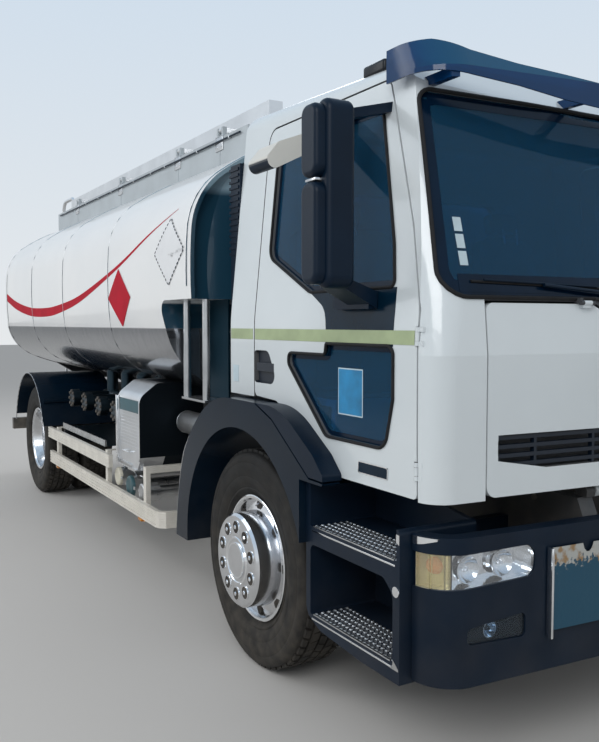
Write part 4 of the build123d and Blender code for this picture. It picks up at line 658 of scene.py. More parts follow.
PITCHES = 56
RIBS = [
    # distance from the middle, width, length along the tread, radius of the top
    (-0.0945, 0.030, 0.046, 0.5205), (-0.048, 0.040, 0.053, 0.5218), (0.0, 0.036, 0.053, 0.522),
    (0.048, 0.040, 0.053, 0.5218), (0.0945, 0.030, 0.046, 0.5205),
]
ribs = []
for index, (middle, width, length, top) in enumerate(RIBS):
    half = length / 2
    skew = 0.006 if index % 2 else -0.006
    ends = [(-half - skew, -width / 2), (half - skew, -width / 2), (half + skew, width / 2),
        (-half + skew, width / 2)]
    low = [(-0.016, y, z) for y, z in ends]
    high = [(0.0, y * 0.94, z * 0.95) for y, z in ends]
    tread_block = new_object("tread_block", low + high, [(4, 5, 6, 7), (0, 1, 5, 4), (1, 2, 6, 5), (2, 3, 7, 6),
        (3, 0, 4, 7)], tyre_rubber)
    outward(tread_block)
    rib = repeat("rib", ring_tree, tread_block, tyre_rubber, Count=PITCHES, Radius=top)
    turn = math.pi / PITCHES * (index % 2)
    move(rib, turned(-90, "X") @ moved(0, 0, middle) @ Matrix.Rotation(turn, 4, "Z"))
    ribs.append(rib)
    drop(tread_block)
tyre = join("tyre", [carcass] + ribs)
shade(tyre, 30)
print("tyre faces:", len(tyre.data.polygons))

for body, tyre_node, x, side, places in WHEELS:
    tyres = [to_axle(copy_of(tyre, "copy"), x, side, out) for out in places]
    tyres = join(tyre_node + "_treaded", tyres)
    carry(tyres, body)
    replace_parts(tyres, tyre_node)
drop(tyre)

# %% [markdown]
# The front wheels have a polished cover: nuts sit in its round holes, and a bright ring frames
# the hub cap. Black discs in the nut holes and in the rim's hand holes are painted shade. The rear
# wheels are deep dishes with open nuts around the hub. Each has a valve.
# %% Wheel nuts, hub caps and valves
RIM_LIP = [(0.2895, 0.113), (0.2985, 0.1135), (0.3, 0.1175), (0.296, 0.1195), (0.289, 0.118)]


def about_y(piece, degrees, out):
    """Turn a ring made flat on the ground so that it faces outwards along Y, at a distance."""
    move(piece, turned(degrees, "Y") @ turned(-90, "X") @ moved(0, 0, out))


nut = lathe("nut", [(0, 0), (0.0165, 0), (0.0165, 0.014), (0.0135, 0.0175), (0.011, 0.0175), (0.011, 0.024),
    (0.0085, 0.027), (0, 0.027)], "Z", chrome, 6)
washer = lathe("washer", [(0.0, -0.003), (0.021, -0.003), (0.021, 0.0), (0.0, 0.0)], "Z", chrome, 20)
nut = join("nut", [nut, washer])
# Black discs that stand in for the shade in the nut holes and the rim's hand holes: painted shade.
recess = lathe("recess", [(0, 0), (0.0285, 0), (0.0285, 0.0015), (0, 0.0015)], "Z", black_rubber, 24)
collar = lathe("collar", [(0.0285, 0), (0.0325, 0), (0.0315, 0.004), (0.029, 0.004)], "Z", chrome, 24)
scoop = lathe("scoop", [(0, -0.012), (0.024, -0.012), (0.024, 0), (0, 0)], "Z", black_rubber, 24)
FRONT_RINGS = [
    # item, its finish, how many, radius of the ring, its turn, distance outwards
    (nut, chrome, 10, 0.16, 18, 0.1975), (recess, black_rubber, 10, 0.16, 18, 0.2148),
    (collar, chrome, 10, 0.16, 18, 0.2148), (scoop, black_rubber, 8, 0.2505, 0, 0.0945),
]
REAR_RINGS = [(nut, chrome, 10, 0.1675, 18, -0.1515)]
FRONT_TRIM = [
    # profile, finish, steps
    ([(0, 0.219), (0.04, 0.2185), (0.07, 0.216), (0.078, 0.2225), (0.0845, 0.2225), (0.0865, 0.216),
      (0.0865, 0.2125), (0, 0.2125)], chrome, 48),
    ([(0.094, 0.2145), (0.1, 0.2145), (0.104, 0.2185), (0.11, 0.2185), (0.113, 0.2145), (0.113, 0.2125),
      (0.094, 0.2125)], chrome, 48),
    (RIM_LIP, chrome, 64),
]
REAR_TRIM = [
    ([(0, -0.022), (0.05, -0.024), (0.078, -0.03), (0.084, -0.036), (0.084, -0.032), (0.086, -0.0705),
      (0, -0.0705)], chrome, 40),
    ([(0.113, -0.0705), (0.113, -0.067), (0.1, -0.066), (0.09, -0.0705)], rim_metal, 40),
    (RIM_LIP, rim_metal, 64),
]
for body, tyre_node, x, side, places in WHEELS:
    rings, trim = (FRONT_RINGS, FRONT_TRIM) if x == 0.0 else (REAR_RINGS, REAR_TRIM)
    fittings = [lathe("trim", profile, "Y", material, steps) for profile, material, steps in trim]
    for item, material, count, radius, degrees, out in rings:
        fittings.append(repeat("ring", ring_tree, item, material, Count=count, Radius=radius))
        about_y(fittings[-1], degrees, out)
    fittings.append(tube("stem", [(0, 0.085, 0.262), (0, 0.098, 0.258), (0.0, 0.112, 0.25)], 0.004, chrome))
    carry(to_axle(join(body + "_fittings", fittings), x, side, TRACK), body)
drop(nut, recess, collar, scoop)

# %% [markdown]
# Tapes, signs, plates and seals follow panels that curve. Each is found by shining rays at the
# truck from one side: a point seen from there lands on the surface, and a thin closed sheet is
# built just in front of the landing points. A sheet stays on one panel, so it never crosses a gap.
# %% Laying thin sheets on curved panels
WAYS = {"right": Vector((0, 1, 0)), "left": Vector((0, -1, 0)), "front": Vector((-1, 0, 0)),
    "back": Vector((1, 0, 0)), "top": Vector((0, 0, -1))}
SIDES = {RIGHT: ("right", "_right"), LEFT: ("left", "_left")}


def skin_of(*names):
    """A search tree over the faces of some solids."""
    points, faces = [], []
    for name in names:
        piece = NODES[name]
        start = len(points)
        points += [piece.matrix_world @ v.co for v in piece.data.vertices]
        faces += [[start + i for i in face.vertices] for face in piece.data.polygons]
    return BVHTree.FromPolygons(points, faces)


def flat_place(view, across, up, depth=0.0):
    """A point of a side, end or top view, moved along the way one looks."""
    place = {"front": (0, across, up), "back": (0, across, up), "top": (ahead(across), up, 0)}
    return Vector(place.get(view, (ahead(across), 0, up))) + WAYS[view] * depth


def depth_on(skin, view, across, up):
    """How far the surface lies along the way one looks, or None beside it. Two rays a hair apart
    look for it, and the nearer hit counts."""
    starts = [flat_place(view, across + slip, up + slip / 2, -9) for slip in (0, 0.0004)]
    hits = [skin.ray_cast(start, WAYS[view])[0] for start in starts]
    return min((hit.dot(WAYS[view]) for hit in hits if hit is not None), default=None)


def between(line, share):
    """The point at a share of the length of a line of points."""
    lengths = [(Vector(b) - Vector(a)).length for a, b in zip(line, line[1:])]
    left = share * sum(lengths)
    for a, b, length in zip(line, line[1:], lengths):
        if left <= length:
            break
        left -= length
    return Vector(a).lerp(Vector(b), min(1, left / length) if length else 0)


def filled(depths):
    """Give each missing depth that of its nearest neighbour."""
    known = [i for i, depth in enumerate(depths) if depth is not None]
    return [depths[min(known, key=lambda k: abs(k - i))] for i in range(len(depths))]


def laid(name, skin, view, lower, upper, material, columns=24, rows=2, lift=0.0014, thick=0.0008, ring=False):
    """A thin closed sheet on a surface between two lines of a view."""
    places = []
    for column in range(columns if ring else columns + 1):
        low, high = between(lower, column / columns), between(upper, column / columns)
        places += [low.lerp(high, row / rows) for row in range(rows + 1)]
    depths = filled([depth_on(skin, view, *place) for place in places])
    points = [flat_place(view, *place, depth - away) for away in (lift, lift - thick)
        for place, depth in zip(places, depths)]
    count, wide = len(places), rows + 1
    last = count // wide if ring else count // wide - 1
    faces = []
    for column in range(last):
        a, b = column * wide, (column + 1) * wide % count
        for row in range(rows):
            faces.append((a + row, b + row, b + row + 1, a + row + 1))
            faces.append(tuple(count + i for i in (a + row, a + row + 1, b + row + 1, b + row)))
        for row in (0, rows):
            faces.append((a + row, b + row, count + b + row, count + a + row))
    if not ring:
        for a in (0, last * wide):
            faces += [(a + row, a + row + 1, count + a + row + 1, count + a + row) for row in range(rows)]
    return shade(outward(new_object(name, points, faces, material)), 40)


def patch(name, skin, view, low, high, material, **options):
    """A sheet over a rectangle of a view."""
    (x0, z0), (x1, z1) = low, high
    return laid(name, skin, view, [(x0, z0), (x1, z0)], [(x0, z1), (x1, z1)], material, **options)

# %% [markdown]
# Windows are outlines with round corners. The same outline, grown or drawn in a little, gives the
# rubber seal round a window, the black border of the windscreen and the line of a panel.
# %% Round outlines, seals and borders
def rounded(outline, steps=6, spacing=0.04):
    """A closed line with round corners from (across, up, radius) rows in millimetres."""
    line = []
    for i, (x, z, radius) in enumerate(outline):
        corner = Vector((x, z)) / 1000
        before = Vector(outline[i - 1][:2]) / 1000 - corner
        after = Vector(outline[(i + 1) % len(outline)][:2]) / 1000 - corner
        half = before.angle(after) / 2
        reach = min(radius / 1000 / math.tan(half), 0.48 * before.length, 0.48 * after.length)
        radius = reach * math.tan(half)
        middle = corner + (before.normalized() + after.normalized()).normalized() * radius / math.sin(half)
        start, end = before.normalized() * reach + corner - middle, after.normalized() * reach + corner - middle
        if radius < 1e-4:
            line.append(corner)
            continue
        line += [middle + start.lerp(end, k / steps).normalized() * radius for k in range(steps + 1)]
    dense = []
    for a, b in zip(line, line[1:] + line[:1]):
        pieces = max(1, round((b - a).length / spacing))
        dense += [a.lerp(b, k / pieces) for k in range(pieces)]
    return dense


def rectangle(low, high, radius):
    """A closed line round a rectangle given in millimetres."""
    (x0, z0), (x1, z1) = low, high
    return rounded([(x0, z0, radius), (x1, z0, radius), (x1, z1, radius), (x0, z1, radius)])


def offset(line, amount):
    """Move a closed line outwards by an amount, or inwards where it is negative."""
    area = sum(a[0] * b[1] - b[0] * a[1] for a, b in zip(line, line[1:] + line[:1]))
    turn = 1 if area > 0 else -1
    moved = []
    for i, point in enumerate(line):
        along = (line[(i + 1) % len(line)] - line[i - 1]).normalized()
        moved.append(point + Vector((along[1], -along[0])) * turn * amount)
    return moved


def seal(name, skin, view, line, radius, material):
    """A rubber profile that follows a closed line on a surface."""
    depths = filled([depth_on(skin, view, *point) for point in line])
    points = [flat_place(view, *point, depth - radius * 0.4) for point, depth in zip(line, depths)]
    return tube(name, points, radius, material, closed=True, sides=2)


def border(name, skin, view, line, inner, outer, material, lift=0.0014):
    """A band between two offsets of a closed line."""
    low, high = offset(line, inner), offset(line, outer)
    return laid(name, skin, view, low + low[:1], high + high[:1], material, columns=len(line), rows=2,
        lift=lift, ring=True)

# %% [markdown]
# The signs and tapes of the truck are kept, but blank: their colours and outlines stay, and no
# name, number or picture is on them.
# %% Tape and sign materials
def tape(name, colour, rough=0.35, spread=0.08, dust=0.2):
    return worn(name, colour, rough, (150, 2, 0.0004, 0.2), dust=dust, top=1.2, scale=9, spread=spread)


olive_tape = tape("olive_tape", (0.36, 0.44, 0.25), 0.45, 0.14)
black_tape = tape("black_tape", (0.001, 0.013, 0.029), 0.2, 0.2, 0.0)
teal_sign = tape("teal_sign", (0.012, 0.085, 0.11), 0.3, 0.2)
blue_sign = tape("blue_sign", (0.008, 0.20, 0.42), 0.3, 0.35, 0.05)
pale_sign = tape("pale_sign", (0.50, 0.62, 0.68), 0.4, 0.08)
white_sign = tape("white_sign", (0.78, 0.80, 0.82), 0.35, 0.03)
red_tape = tape("red_tape", (0.46, 0.0002, 0.018), 0.6, 0.1, 0.0)
set_plain(red_tape, {MIRROR_LEVEL: 0.15})
orange_sign = tape("orange_sign", (0.75, 0.22, 0.01), 0.35, 0.08)
window_black = tape("window_black", (0.001, 0.010, 0.028), 0.15, 0.2, 0.0)

# %% [markdown]
# An olive tape runs along each side of the cab at belt height, once on the rear panel and once on
# the door. On the right a black field joins the main window to the small kerb window below it,
# with a blank sticker on that window and a blank badge plate near the door's foot. A small painted
# sheet closes the upper rear corner of the kerb window.
# %% Tapes, stickers and badge plates on the cab
STRIPE = (1.570, 1.620)
FIELD_CURVE = [(0.653, 1.5616), (0.653, 1.62), (0.647, 1.656), (0.635, 1.69), (0.612, 1.717), (0.56, 1.745),
    (0.505, 1.7745)]
COVER_FOOT = [(0.335, 1.517), (0.630, 1.517), (0.648, 1.525), (0.653, 1.540)]
for side, (view, ending) in SIDES.items():
    panel, door = skin_of("cab_side_panels"), skin_of("door" + ending)
    stripe = patch("stripe", panel, view, (-0.249, STRIPE[0]), (-0.006, STRIPE[1]), olive_tape)
    group("rear_stripe" + ending, [stripe], "cab")
    badge_line = rectangle((895, 1078), (1085, 1121), 4)
    tapes = [
        patch("stripe", door, view, (0.018, STRIPE[0]), (1.236, STRIPE[1]), olive_tape,
            lift=0.0024, columns=48),
        patch("badge", door, view, (0.895, 1.078), (1.085, 1.121), black_tape, thick=0.0012, lift=0.002),
        border("badge_rim", door, view, badge_line, -0.002, 0.0015, chrome, 0.0026),
    ]
    if side == RIGHT:
        tapes.append(laid("black_field", door, view, FIELD_CURVE, [(1.112, 1.5616), (1.112, 1.7745)],
            black_tape, columns=18, rows=8))
        tapes.append(laid("corner_cover", door, view, COVER_FOOT, [(0.335, 1.569), (0.653, 1.569)],
            cab_paint, columns=24, rows=4, lift=0.0022, thick=0.0016))
    group("door_tapes" + ending, tapes, "door" + ending)
    label = patch("label", panel, view, (-0.225, 1.36), (-0.165, 1.44), pale_sign)
    group("blank_label" + ending, [label], "cab")

pane = skin_of("door_glass_right")
sticker = [patch("sticker_edge", pane, "right", (0.728, 1.285), (0.902, 1.470), pale_sign, lift=0.0012),
    patch("sticker_face", pane, "right", (0.733, 1.290), (0.897, 1.465), blue_sign, lift=0.002)]
group("window_sticker", sticker, "door_right")

# %% [markdown]
# Black rubber seals the door windows and the windscreen, and a black border printed on the
# windscreen hides its glue. A rubber lip fills the gap ahead of each door and makes the gap dark:
# a seal, and painted shade of the gap too.
# %% Window seals and windscreen border
WINDOW = [(118, 1950, 70), (505, 1779, 60), (1096, 1779, 20), (1072, 1930, 400), (925, 2455, 60),
    (118, 2455, 90)]
KERB_WINDOW = [(350, 1470, 30), (660, 1192, 60), (1066, 1192, 60), (1112, 1372, 60), (1112, 1560, 30),
    (662, 1560, 5), (654, 1514, 22), (350, 1514, 26)]
SCREEN = [(-1095, 1740, 85), (1095, 1740, 85), (1055, 2470, 45), (-1055, 2470, 45)]
for side, (view, ending) in SIDES.items():
    door, glass = skin_of("door" + ending), skin_of("door_glass" + ending)
    seals = [seal("window_seal", door, view, offset(rounded(WINDOW), 0.004), 0.0065, black_rubber)]
    edges = [border("window_edge", glass, view, rounded(WINDOW), -0.022, -0.003, window_black)]
    if side == RIGHT:
        seals.append(seal("kerb_seal", door, view, offset(rounded(KERB_WINDOW), 0.004), 0.0065, black_rubber))
        edges.append(border("kerb_edge", glass, view, rounded(KERB_WINDOW), -0.02, -0.003, window_black))
    group("window_seals" + ending, seals, "door" + ending)
    group("window_edges" + ending, edges, "door" + ending)

DOOR_GAP = [
    # distance from the front axle and height, along the front edge of a door
    [(1.257, 1.045), (1.2565, 1.095)],
    [(1.256, 1.180), (1.254, 1.300), (1.253, 1.555)],
    [(1.252, 1.650), (1.248, 1.720), (1.214, 1.860), (1.173, 1.995), (1.107, 2.160), (1.046, 2.320)],
]
# A black strip deep in each door gap: a seal, and painted shade that darkens the gap.
for side, (view, ending) in SIDES.items():
    door, strips = skin_of("door" + ending), []
    for line in DOOR_GAP:
        depths = [depth_on(door, view, x - 0.012, z) for x, z in line]
        run = [flat_place(view, x, z, depth + 0.016) for (x, z), depth in zip(line, depths)]
        strips.append(tube("gap_rubber", run, 0.0036, black_rubber, sides=2))
    group("gap_rubber" + ending, strips, "cab")

frame_skin = skin_of("cab_front_pillars", "cab_roof", "cab_front_wall", "cab_side_panels")
screen_skin = skin_of("cab_glass")
screen_line = rounded(SCREEN)
carry(seal("screen_seal", frame_skin, "front", offset(screen_line, 0.005), 0.008, black_rubber), "cab")
frit = [border("screen_border", screen_skin, "front", screen_line, -0.045, -0.004, window_black),
    patch("screen_foot", screen_skin, "front", (-1.02, 1.752), (1.02, 1.815), window_black, columns=40,
    lift=0.0026)]
group("screen_frit", frit, "cab")
labels = [patch("screen_label", screen_skin, "front", (-1.0, low), (-0.965, low + 0.05), pale_sign, lift=0.0022)
    for low in (1.845, 1.905, 1.965)]
group("screen_labels", labels, "cab")
rear_window = rectangle((-560, 1900), (560, 2330), 60)
carry(seal("rear_seal", skin_of("cab_back_wall"), "back", offset(rear_window, 0.006), 0.009,
    black_rubber), "cab")

# %% [markdown]
# Each wiper is a thin arm from its boss to a bar, and the bar presses a rubber blade on the glass.
# %% Wipers
def on_screen(y, z, lift):
    """A point in front of the windscreen."""
    return flat_place("front", y, z, depth_on(screen_skin, "front", y, z) - lift)


WIPERS = [
    # pivot y, y of the blade's ends, height of its ends
    (-0.30, -0.97, -0.34, 1.79, 1.775), (0.42, -0.25, 0.38, 1.79, 1.775),
]
BOSS = [(0, 0), (0.022, 0), (0.02, 0.016), (0.012, 0.024), (0, 0.025)]
wipers = []
for pivot, start, end, z0, z1 in WIPERS:
    blade = [on_screen(start + (end - start) * k / 12, z0 + (z1 - z0) * k / 12, 0.006) for k in range(13)]
    bar = [on_screen(start + (end - start) * (0.08 + 0.84 * k / 8), z0 + (z1 - z0) * k / 8 + 0.006, 0.014)
        for k in range(9)]
    middle = (start + end) / 2
    foot = on_screen(pivot, 1.752, 0.012)
    arm = [foot + Vector((0.004, 0, -0.012)), foot + Vector((0.012, 0, 0.004)),
        on_screen(middle, (z0 + z1) / 2, 0.02)]
    for line, radius, material in (
            (blade, 0.005, black_rubber), (bar, 0.004, dark_plastic), (arm, 0.0075, dark_plastic)):
        wipers.append(tube("wiper_bar", line, radius, material, sides=2))
    wipers.append(lathe("boss", BOSS, "X", dark_plastic, 20, foot - Vector((0.012, 0, 0))))
group("wipers", wipers, "cab")

# %% [markdown]
# Behind the lenses of the lamps sit bright bowls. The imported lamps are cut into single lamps; of
# each one, the faces that look out of the truck become a thin clear lens, and the others become
# the open tray behind it. Then bowls and bulbs go into the trays.
# %% Lamps with lenses and reflectors
pale_lens = clear_glass("pale_lens", (0.95, 0.88, 0.62), 0.12, 0.8)
ribbed(pale_lens, 26, "Z", 0.002, 0.5)
smoked_lens = clear_glass("smoked_lens", (0.34, 0.42, 0.50), 0.02, 0.95, 1.25)
soft_mirror = finish("soft_mirror", (0.86, 0.82, 0.66), 0.42, metal=0.6)
relief(soft_mirror, specks(soft_mirror, 60, 2), 0.001, 0.2)
bulb_glow = finish("bulb_glow", (0.90, 0.22, 0.01), 0.2)
lamp_black = finish("lamp_black", (0.012, 0.014, 0.018), 0.25)
relief(lamp_black, specks(lamp_black, 250, 2), 0.0005, 0.2)

# %% [markdown]
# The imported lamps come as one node. It is taken apart into its closed solids, and the open faces
# chosen from one of them become a thin wall.
# %% Taking the lamps apart
def islands(name):
    """The separate closed solids of a node, each as its own mesh work."""
    work = bmesh.new()
    work.from_mesh(NODES[name].data)
    work.transform(NODES[name].matrix_world)
    bmesh.ops.remove_doubles(work, verts=work.verts, dist=1e-5)
    rest, found = set(work.faces), []
    while rest:
        solid, waiting = set(), [rest.pop()]
        while waiting:
            face = waiting.pop()
            solid.add(face)
            for edge in face.edges:
                for other in edge.link_faces:
                    if other in rest:
                        rest.discard(other)
                        waiting.append(other)
        found.append([([v.co.copy() for v in face.verts], face.normal.copy()) for face in solid])
    work.free()
    return found


def shell(name, faces, material, wall):
    """A closed sheet metal or lens shell from open faces, with its wall on the inner side."""
    points, corners = [], []
    for vertices, normal in faces:
        corners.append(range(len(points), len(points) + len(vertices)))
        points += vertices
    piece = outward(new_object(name, points, [tuple(c) for c in corners], material), turn_faces=False)
    walls = piece.modifiers.new("wall", "SOLIDIFY")
    walls.thickness = wall
    walls.offset = -1
    walls.use_even_offset = True
    return shade(settle(piece), 40)


def bowl(radius, centre):
    """A shallow round reflector that opens forward, with its bulb."""
    x, y, z = centre
    dish = lathe("dish", [(0.006, -0.026), (radius * 0.5, -0.022), (radius * 0.82, -0.011), (radius, 0),
        (radius + 0.003, 0), (radius + 0.003, -0.004), (radius * 0.84, -0.016), (radius * 0.5, -0.026),
        (0.006, -0.03)], "X", chrome, 32, centre)
    bulb = lathe("bulb", [(0, -0.026), (0.009, -0.026), (0.009, -0.012), (0.006, -0.007), (0, -0.005)], "X",
        clear_lens, 16, centre)
    return [dish, bulb]

# %% [markdown]
# The indicator wraps round the corner of the bumper on one circle. A dark divider parts it from
# the headlamp, and a lens is cut there into a clear and a pale ribbed piece.
# %% The round corner of the lamps
ARC = Vector((ahead(1.235), -1.006))
LENS_SEAM = 58


def wedge(name, side, start, end, inner, outer, low, high, material):
    """A piece of the round corner of the bumper between two turns, counted from the side."""
    flat = []
    for turn, radius in ((start, inner), (end, inner), (end, outer), (start, outer)):
        out, along = on_circle(turn, radius)
        flat.append((ARC[0] + along, -side * (ARC[1] - out)))
    return prism(name, [(x, y, low) for x, y in flat], [(x, y, high) for x, y in flat], material)


def split_lens(piece, side):
    """Give the part of a lens behind the lens seam the pale ribbed glass."""
    piece.data.materials.append(pale_lens)
    forward, out = on_circle(LENS_SEAM)
    across = Vector((forward, -side * out, 0))
    seam = Vector((ARC[0], -side * ARC[1], 0))
    work = bmesh.new()
    work.from_mesh(piece.data)
    bmesh.ops.bisect_plane(work, geom=work.verts[:] + work.edges[:] + work.faces[:], plane_co=seam,
        plane_no=across)
    for face in work.faces:
        face.material_index = 1 if (face.calc_center_median() - seam).dot(across) < 0 else 0
    work.to_mesh(piece.data)
    work.free()

# %% [markdown]
# Now every lamp gets its lens, its tray and what sits inside. The back of the truck has a row of
# plain tail lamps on each side.
# %% Lenses, trays and bulbs
lenses, trays = [], []
for faces in islands("lamp_units"):
    corners = [v for vertices, normal in faces for v in vertices]
    middle = sum(corners, Vector()) / len(corners)
    side = LEFT if middle.y > 0 else RIGHT
    if middle.x < ahead(-3):
        continue
    turning = max(v.x for v in corners) < ahead(1.310)
    fog = middle.z < 0.66
    lens, tray = [], []
    for vertices, normal in faces:
        at_seam = abs(normal.x) > 0.99 and abs(vertices[0].x - ahead(1.310)) < 0.003
        out = (normal.x > 0.3 or side * normal.y > 0.3) and abs(normal.z) < 0.6
        cut_end = side * normal.y < -0.9 or (abs(normal.y) > 0.99 and not turning)
        if not at_seam or fog:
            (lens if out and not cut_end else tray).append((vertices, normal))
    glass = shell("lens", lens, pale_lens if turning else smoked_lens if fog else clear_lens, 0.0025)
    lenses.append(glass)
    trays.append(shell("tray", tray, lamp_black if fog else soft_mirror if turning else chrome, 0.0015))
    if fog:
        trays += bowl(0.027, (ahead(1.386), side * 0.93, 0.586))
    elif turning:
        bulb = lathe("indicator_bulb", [(0, 0.022), (0.015, 0.02), (0.026, 0.012), (0.031, 0.0), (0, 0.0)], "X",
            bulb_glow, 24)
        out, along = on_circle(90 - LENS_SEAM, 0.112)
        move(bulb, moved(ARC[0] + along, side * (out - ARC[1]), 0.812) @ turned(side * LENS_SEAM, "Z"))
        trays.append(bulb)
        lenses.append(wedge("lens_bridge", side, 29.0, 33.0, 0.1408, 0.1436, 0.7395, 0.8605, pale_lens))
        trays.append(wedge("lens_divider", side, 56.8, 59.4, 0.095, 0.1490, 0.742, 0.8635, lamp_black))
    else:
        split_lens(glass, side)
        trays += bowl(0.046, (ahead(1.360), side * 1.008, 0.800)) + bowl(0.046,
            (ahead(1.372), side * 0.862, 0.806))
print("lamps with lenses:", len(lenses))

TAIL = [
    # distance of the lens from the middle, outer and inner, and its colour
    (1.146, 1.055, red_lens), (1.052, 0.945, amber_lens), (0.942, 0.834, red_lens),
]
for side in (RIGHT, LEFT):
    trays.append(slab("tail_case", (-3.708, -3.660), (side * 1.15, side * 0.83), (0.600, 0.730), lamp_black,
        0.008))
    for outer, inner, colour in TAIL:
        y0, y1 = side * outer, side * inner
        lenses.append(slab("tail_lens", (-3.7165, -3.7085), (y0, y1), (0.606, 0.724), colour, 0.004))
group("lamp_lenses", lenses, "chassis")
lamps = group("lamp_trays", trays, "chassis")
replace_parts(lamps, "lamp_units")

# %% [markdown]
# Some finishes change inside a box: the grille slot in the white flap and the bowl behind the
# door handle are near black as painted shade of these recesses, and the cap of the kerb mirror is
# cream on a black mount. A mask that is 1 inside the box picks the second colour, alike on both
# sides of the truck.
# %% Finishes that change inside a box
def within(material, low, high, soft=0.001):
    """1 inside a box given by its corners, with Y measured from the middle, else 0."""
    where = node(material, "SeparateXYZ", {0: coords(material)})
    places = [where.outputs[0], times(material, where.outputs[1], 0.0, "ABSOLUTE"), where.outputs[2]]
    mask = None
    for place, start, end in zip(places, low, high):
        rise = ranged(material, place, start - soft, start + soft)
        fall = ranged(material, place, end + soft, end - soft)
        both = times(material, rise, fall)
        mask = both if mask is None else times(material, mask, both)
    return mask


def recoloured(source, name, mask_of, colour, rough):
    """A copy of a finish with another colour and roughness where its mask is 1."""
    material = source.copy()
    material.name = name
    sockets, mask = sockets_of(material), mask_of(material)
    first, plain = [sockets[name].links[0].from_socket for name in ("Base Color", "Roughness")]
    feed(material, "Base Color", mixed(material, mask, first, colour))
    feed(material, "Roughness", node(material, "Mix", {0: mask, 2: plain, 3: rough}).outputs[0])
    feed(material, "Coat Weight", ranged(material, mask, 0, 1, sockets["Coat Weight"].default_value, 0.0))
    return material


def slot_shade_mask(material):
    slanted = node(material, "SeparateXYZ", {0: coords(material)})
    across = times(material, slanted.outputs[1], 0.0, "ABSOLUTE")
    rise = ranged(material, across, 0.66, 0.88, 1.128, 1.165)
    above = times(material, slanted.outputs[2], rise, "GREATER_THAN")
    return times(material, within(material, (0, -1, 1.12), (9, 0.879, 1.2555)), above)


def bowl_shade_mask(material):
    bowl = within(material, (ahead(-0.01), 1.09, 1.36), (ahead(0.25), 1.1462, 1.53))
    bar = within(material, (ahead(0.0), 1.09, 1.4235), (ahead(0.205), 1.16, 1.4625))
    return times(material, bowl, bar, "MAXIMUM")


def cap_mask(material):
    upward = ranged(material, axis_of(material, 2, "Normal"), -0.2, 0.0)
    return times(material, within(material, (ahead(0.55), 1.03, 2.19), (ahead(0.73), 1.5, 2.5)), upward)


# Painted shade in the grille slot and in the door handle's bowl.
flap_paint = recoloured(cab_paint, "flap_paint", slot_shade_mask, PAINTED_RECESS_SHADE, 0.4)
door_paint = recoloured(cab_paint, "door_paint", bowl_shade_mask, PAINTED_RECESS_SHADE, 0.5)
mirror_finish = recoloured(dark_plastic, "mirror_finish", cap_mask, (0.66, 0.66, 0.62), 0.35)
dress(flap_paint, "front_flap")
dress(door_paint, "door_right", "door_left")
dress(mirror_finish, "door_trim_right", "door_trim_left")

# %% [markdown]
# The tank carries a red line that swings down and back along its side and grows wider, a red
# diamond below it and a white diamond with a dashed edge in front. All of them are blank.
# %% Red line and diamonds on the tank
def smooth_line(rows, steps=8):
    """A smooth line through rows of numbers."""
    rows = [Vector(row) for row in rows]
    ends = [rows[0] * 2 - rows[1]] + rows + [rows[-1] * 2 - rows[-2]]
    line = []
    for a, b, c, d in zip(ends, ends[1:], ends[2:], ends[3:]):
        for k in range(steps):
            t = k / steps
            line.append(0.5 * (2 * b + (c - a) * t + (2 * a - 5 * b + 4 * c - d) * t * t
                + (3 * b - a - 3 * c + d) * t ** 3))
    return line + [rows[-1]]


SWOOSH = [
    # distance from the front axle, height, half width
    (-0.80, 2.272, 0.001), (-1.25, 2.155, 0.006), (-1.84, 2.004, 0.012), (-2.728, 1.835, 0.024),
    (-3.40, 1.765, 0.033), (-3.901, 1.742, 0.038), (-4.55, 1.755, 0.040), (-5.2, 1.825, 0.040),
    (-5.732, 1.928, 0.038),
]
DIAMONDS = [
    # rear, lower, front and upper corner
    (((-2.017, 1.81), (-1.74, 1.621), (-1.543, 1.81), (-1.78, 1.999)), red_tape),
    (((-1.0873, 2.0417), (-0.8627, 1.8567), (-0.6353, 2.0417), (-0.8627, 2.2267)), white_sign),
]
DASHES = 9
WELDS = (-2.02, -3.28, -4.46, -5.70)
tank_skin = skin_of("tank_barrel")
for side, (view, ending) in SIDES.items():
    line = smooth_line(SWOOSH)
    low = [(x, z - half) for x, z, half in line]
    high = [(x, z + half) for x, z, half in line]
    marks = [laid("swoosh" + ending, tank_skin, view, low, high, red_tape, columns=96, rows=3)]
    for (rear, foot, front, top), material in DIAMONDS:
        marks.append(laid("diamond" + ending, tank_skin, view, [rear, foot, front], [rear, top, front],
            material, columns=24, rows=16, lift=0.003))
    corners = [Vector(c) for c in DIAMONDS[-1][0]]
    for a, b in zip(corners, corners[1:] + corners[:1]):
        across = Vector((b[1] - a[1], a[0] - b[0])).normalized() * 0.004
        for k in range(DASHES):
            start, end = a.lerp(b, (k + 0.2) / DASHES), a.lerp(b, (k + 0.75) / DASHES)
            marks.append(laid("dash", tank_skin, view, [start - across, end - across],
                [start + across, end + across], black_tape, columns=1, rows=1, lift=0.0042))
    group("tank_marks" + ending, marks, "chassis")


def girdle(name, skin, x, start, end, radius, material, steps=72):
    """A bead round the tank in one plane, between two turns counted up from the right side."""
    middle = Vector((ahead(x), 0, 1.93))
    line = []
    for k in range(steps + 1):
        right, up = on_circle(start + (end - start) * k / steps)
        out = Vector((0, -right, up))
        hit = skin.ray_cast(middle + out * 3, -out)[0]
        line.append(hit + out * radius * 0.3)
    return tube(name, line, radius, material, sides=2)


beads = [girdle("front_seal", tank_skin, -0.600, -4, 265, 0.006, tank_paint)]
beads += [girdle("weld", tank_skin, x, -100, 260, 0.0035, tank_paint) for x in WELDS]
group("tank_beads", beads, "chassis")
niche_label = patch("niche_label", tank_skin, "right", (-0.59, 1.30), (-0.555, 1.44), teal_sign)
carry(niche_label, "chassis")

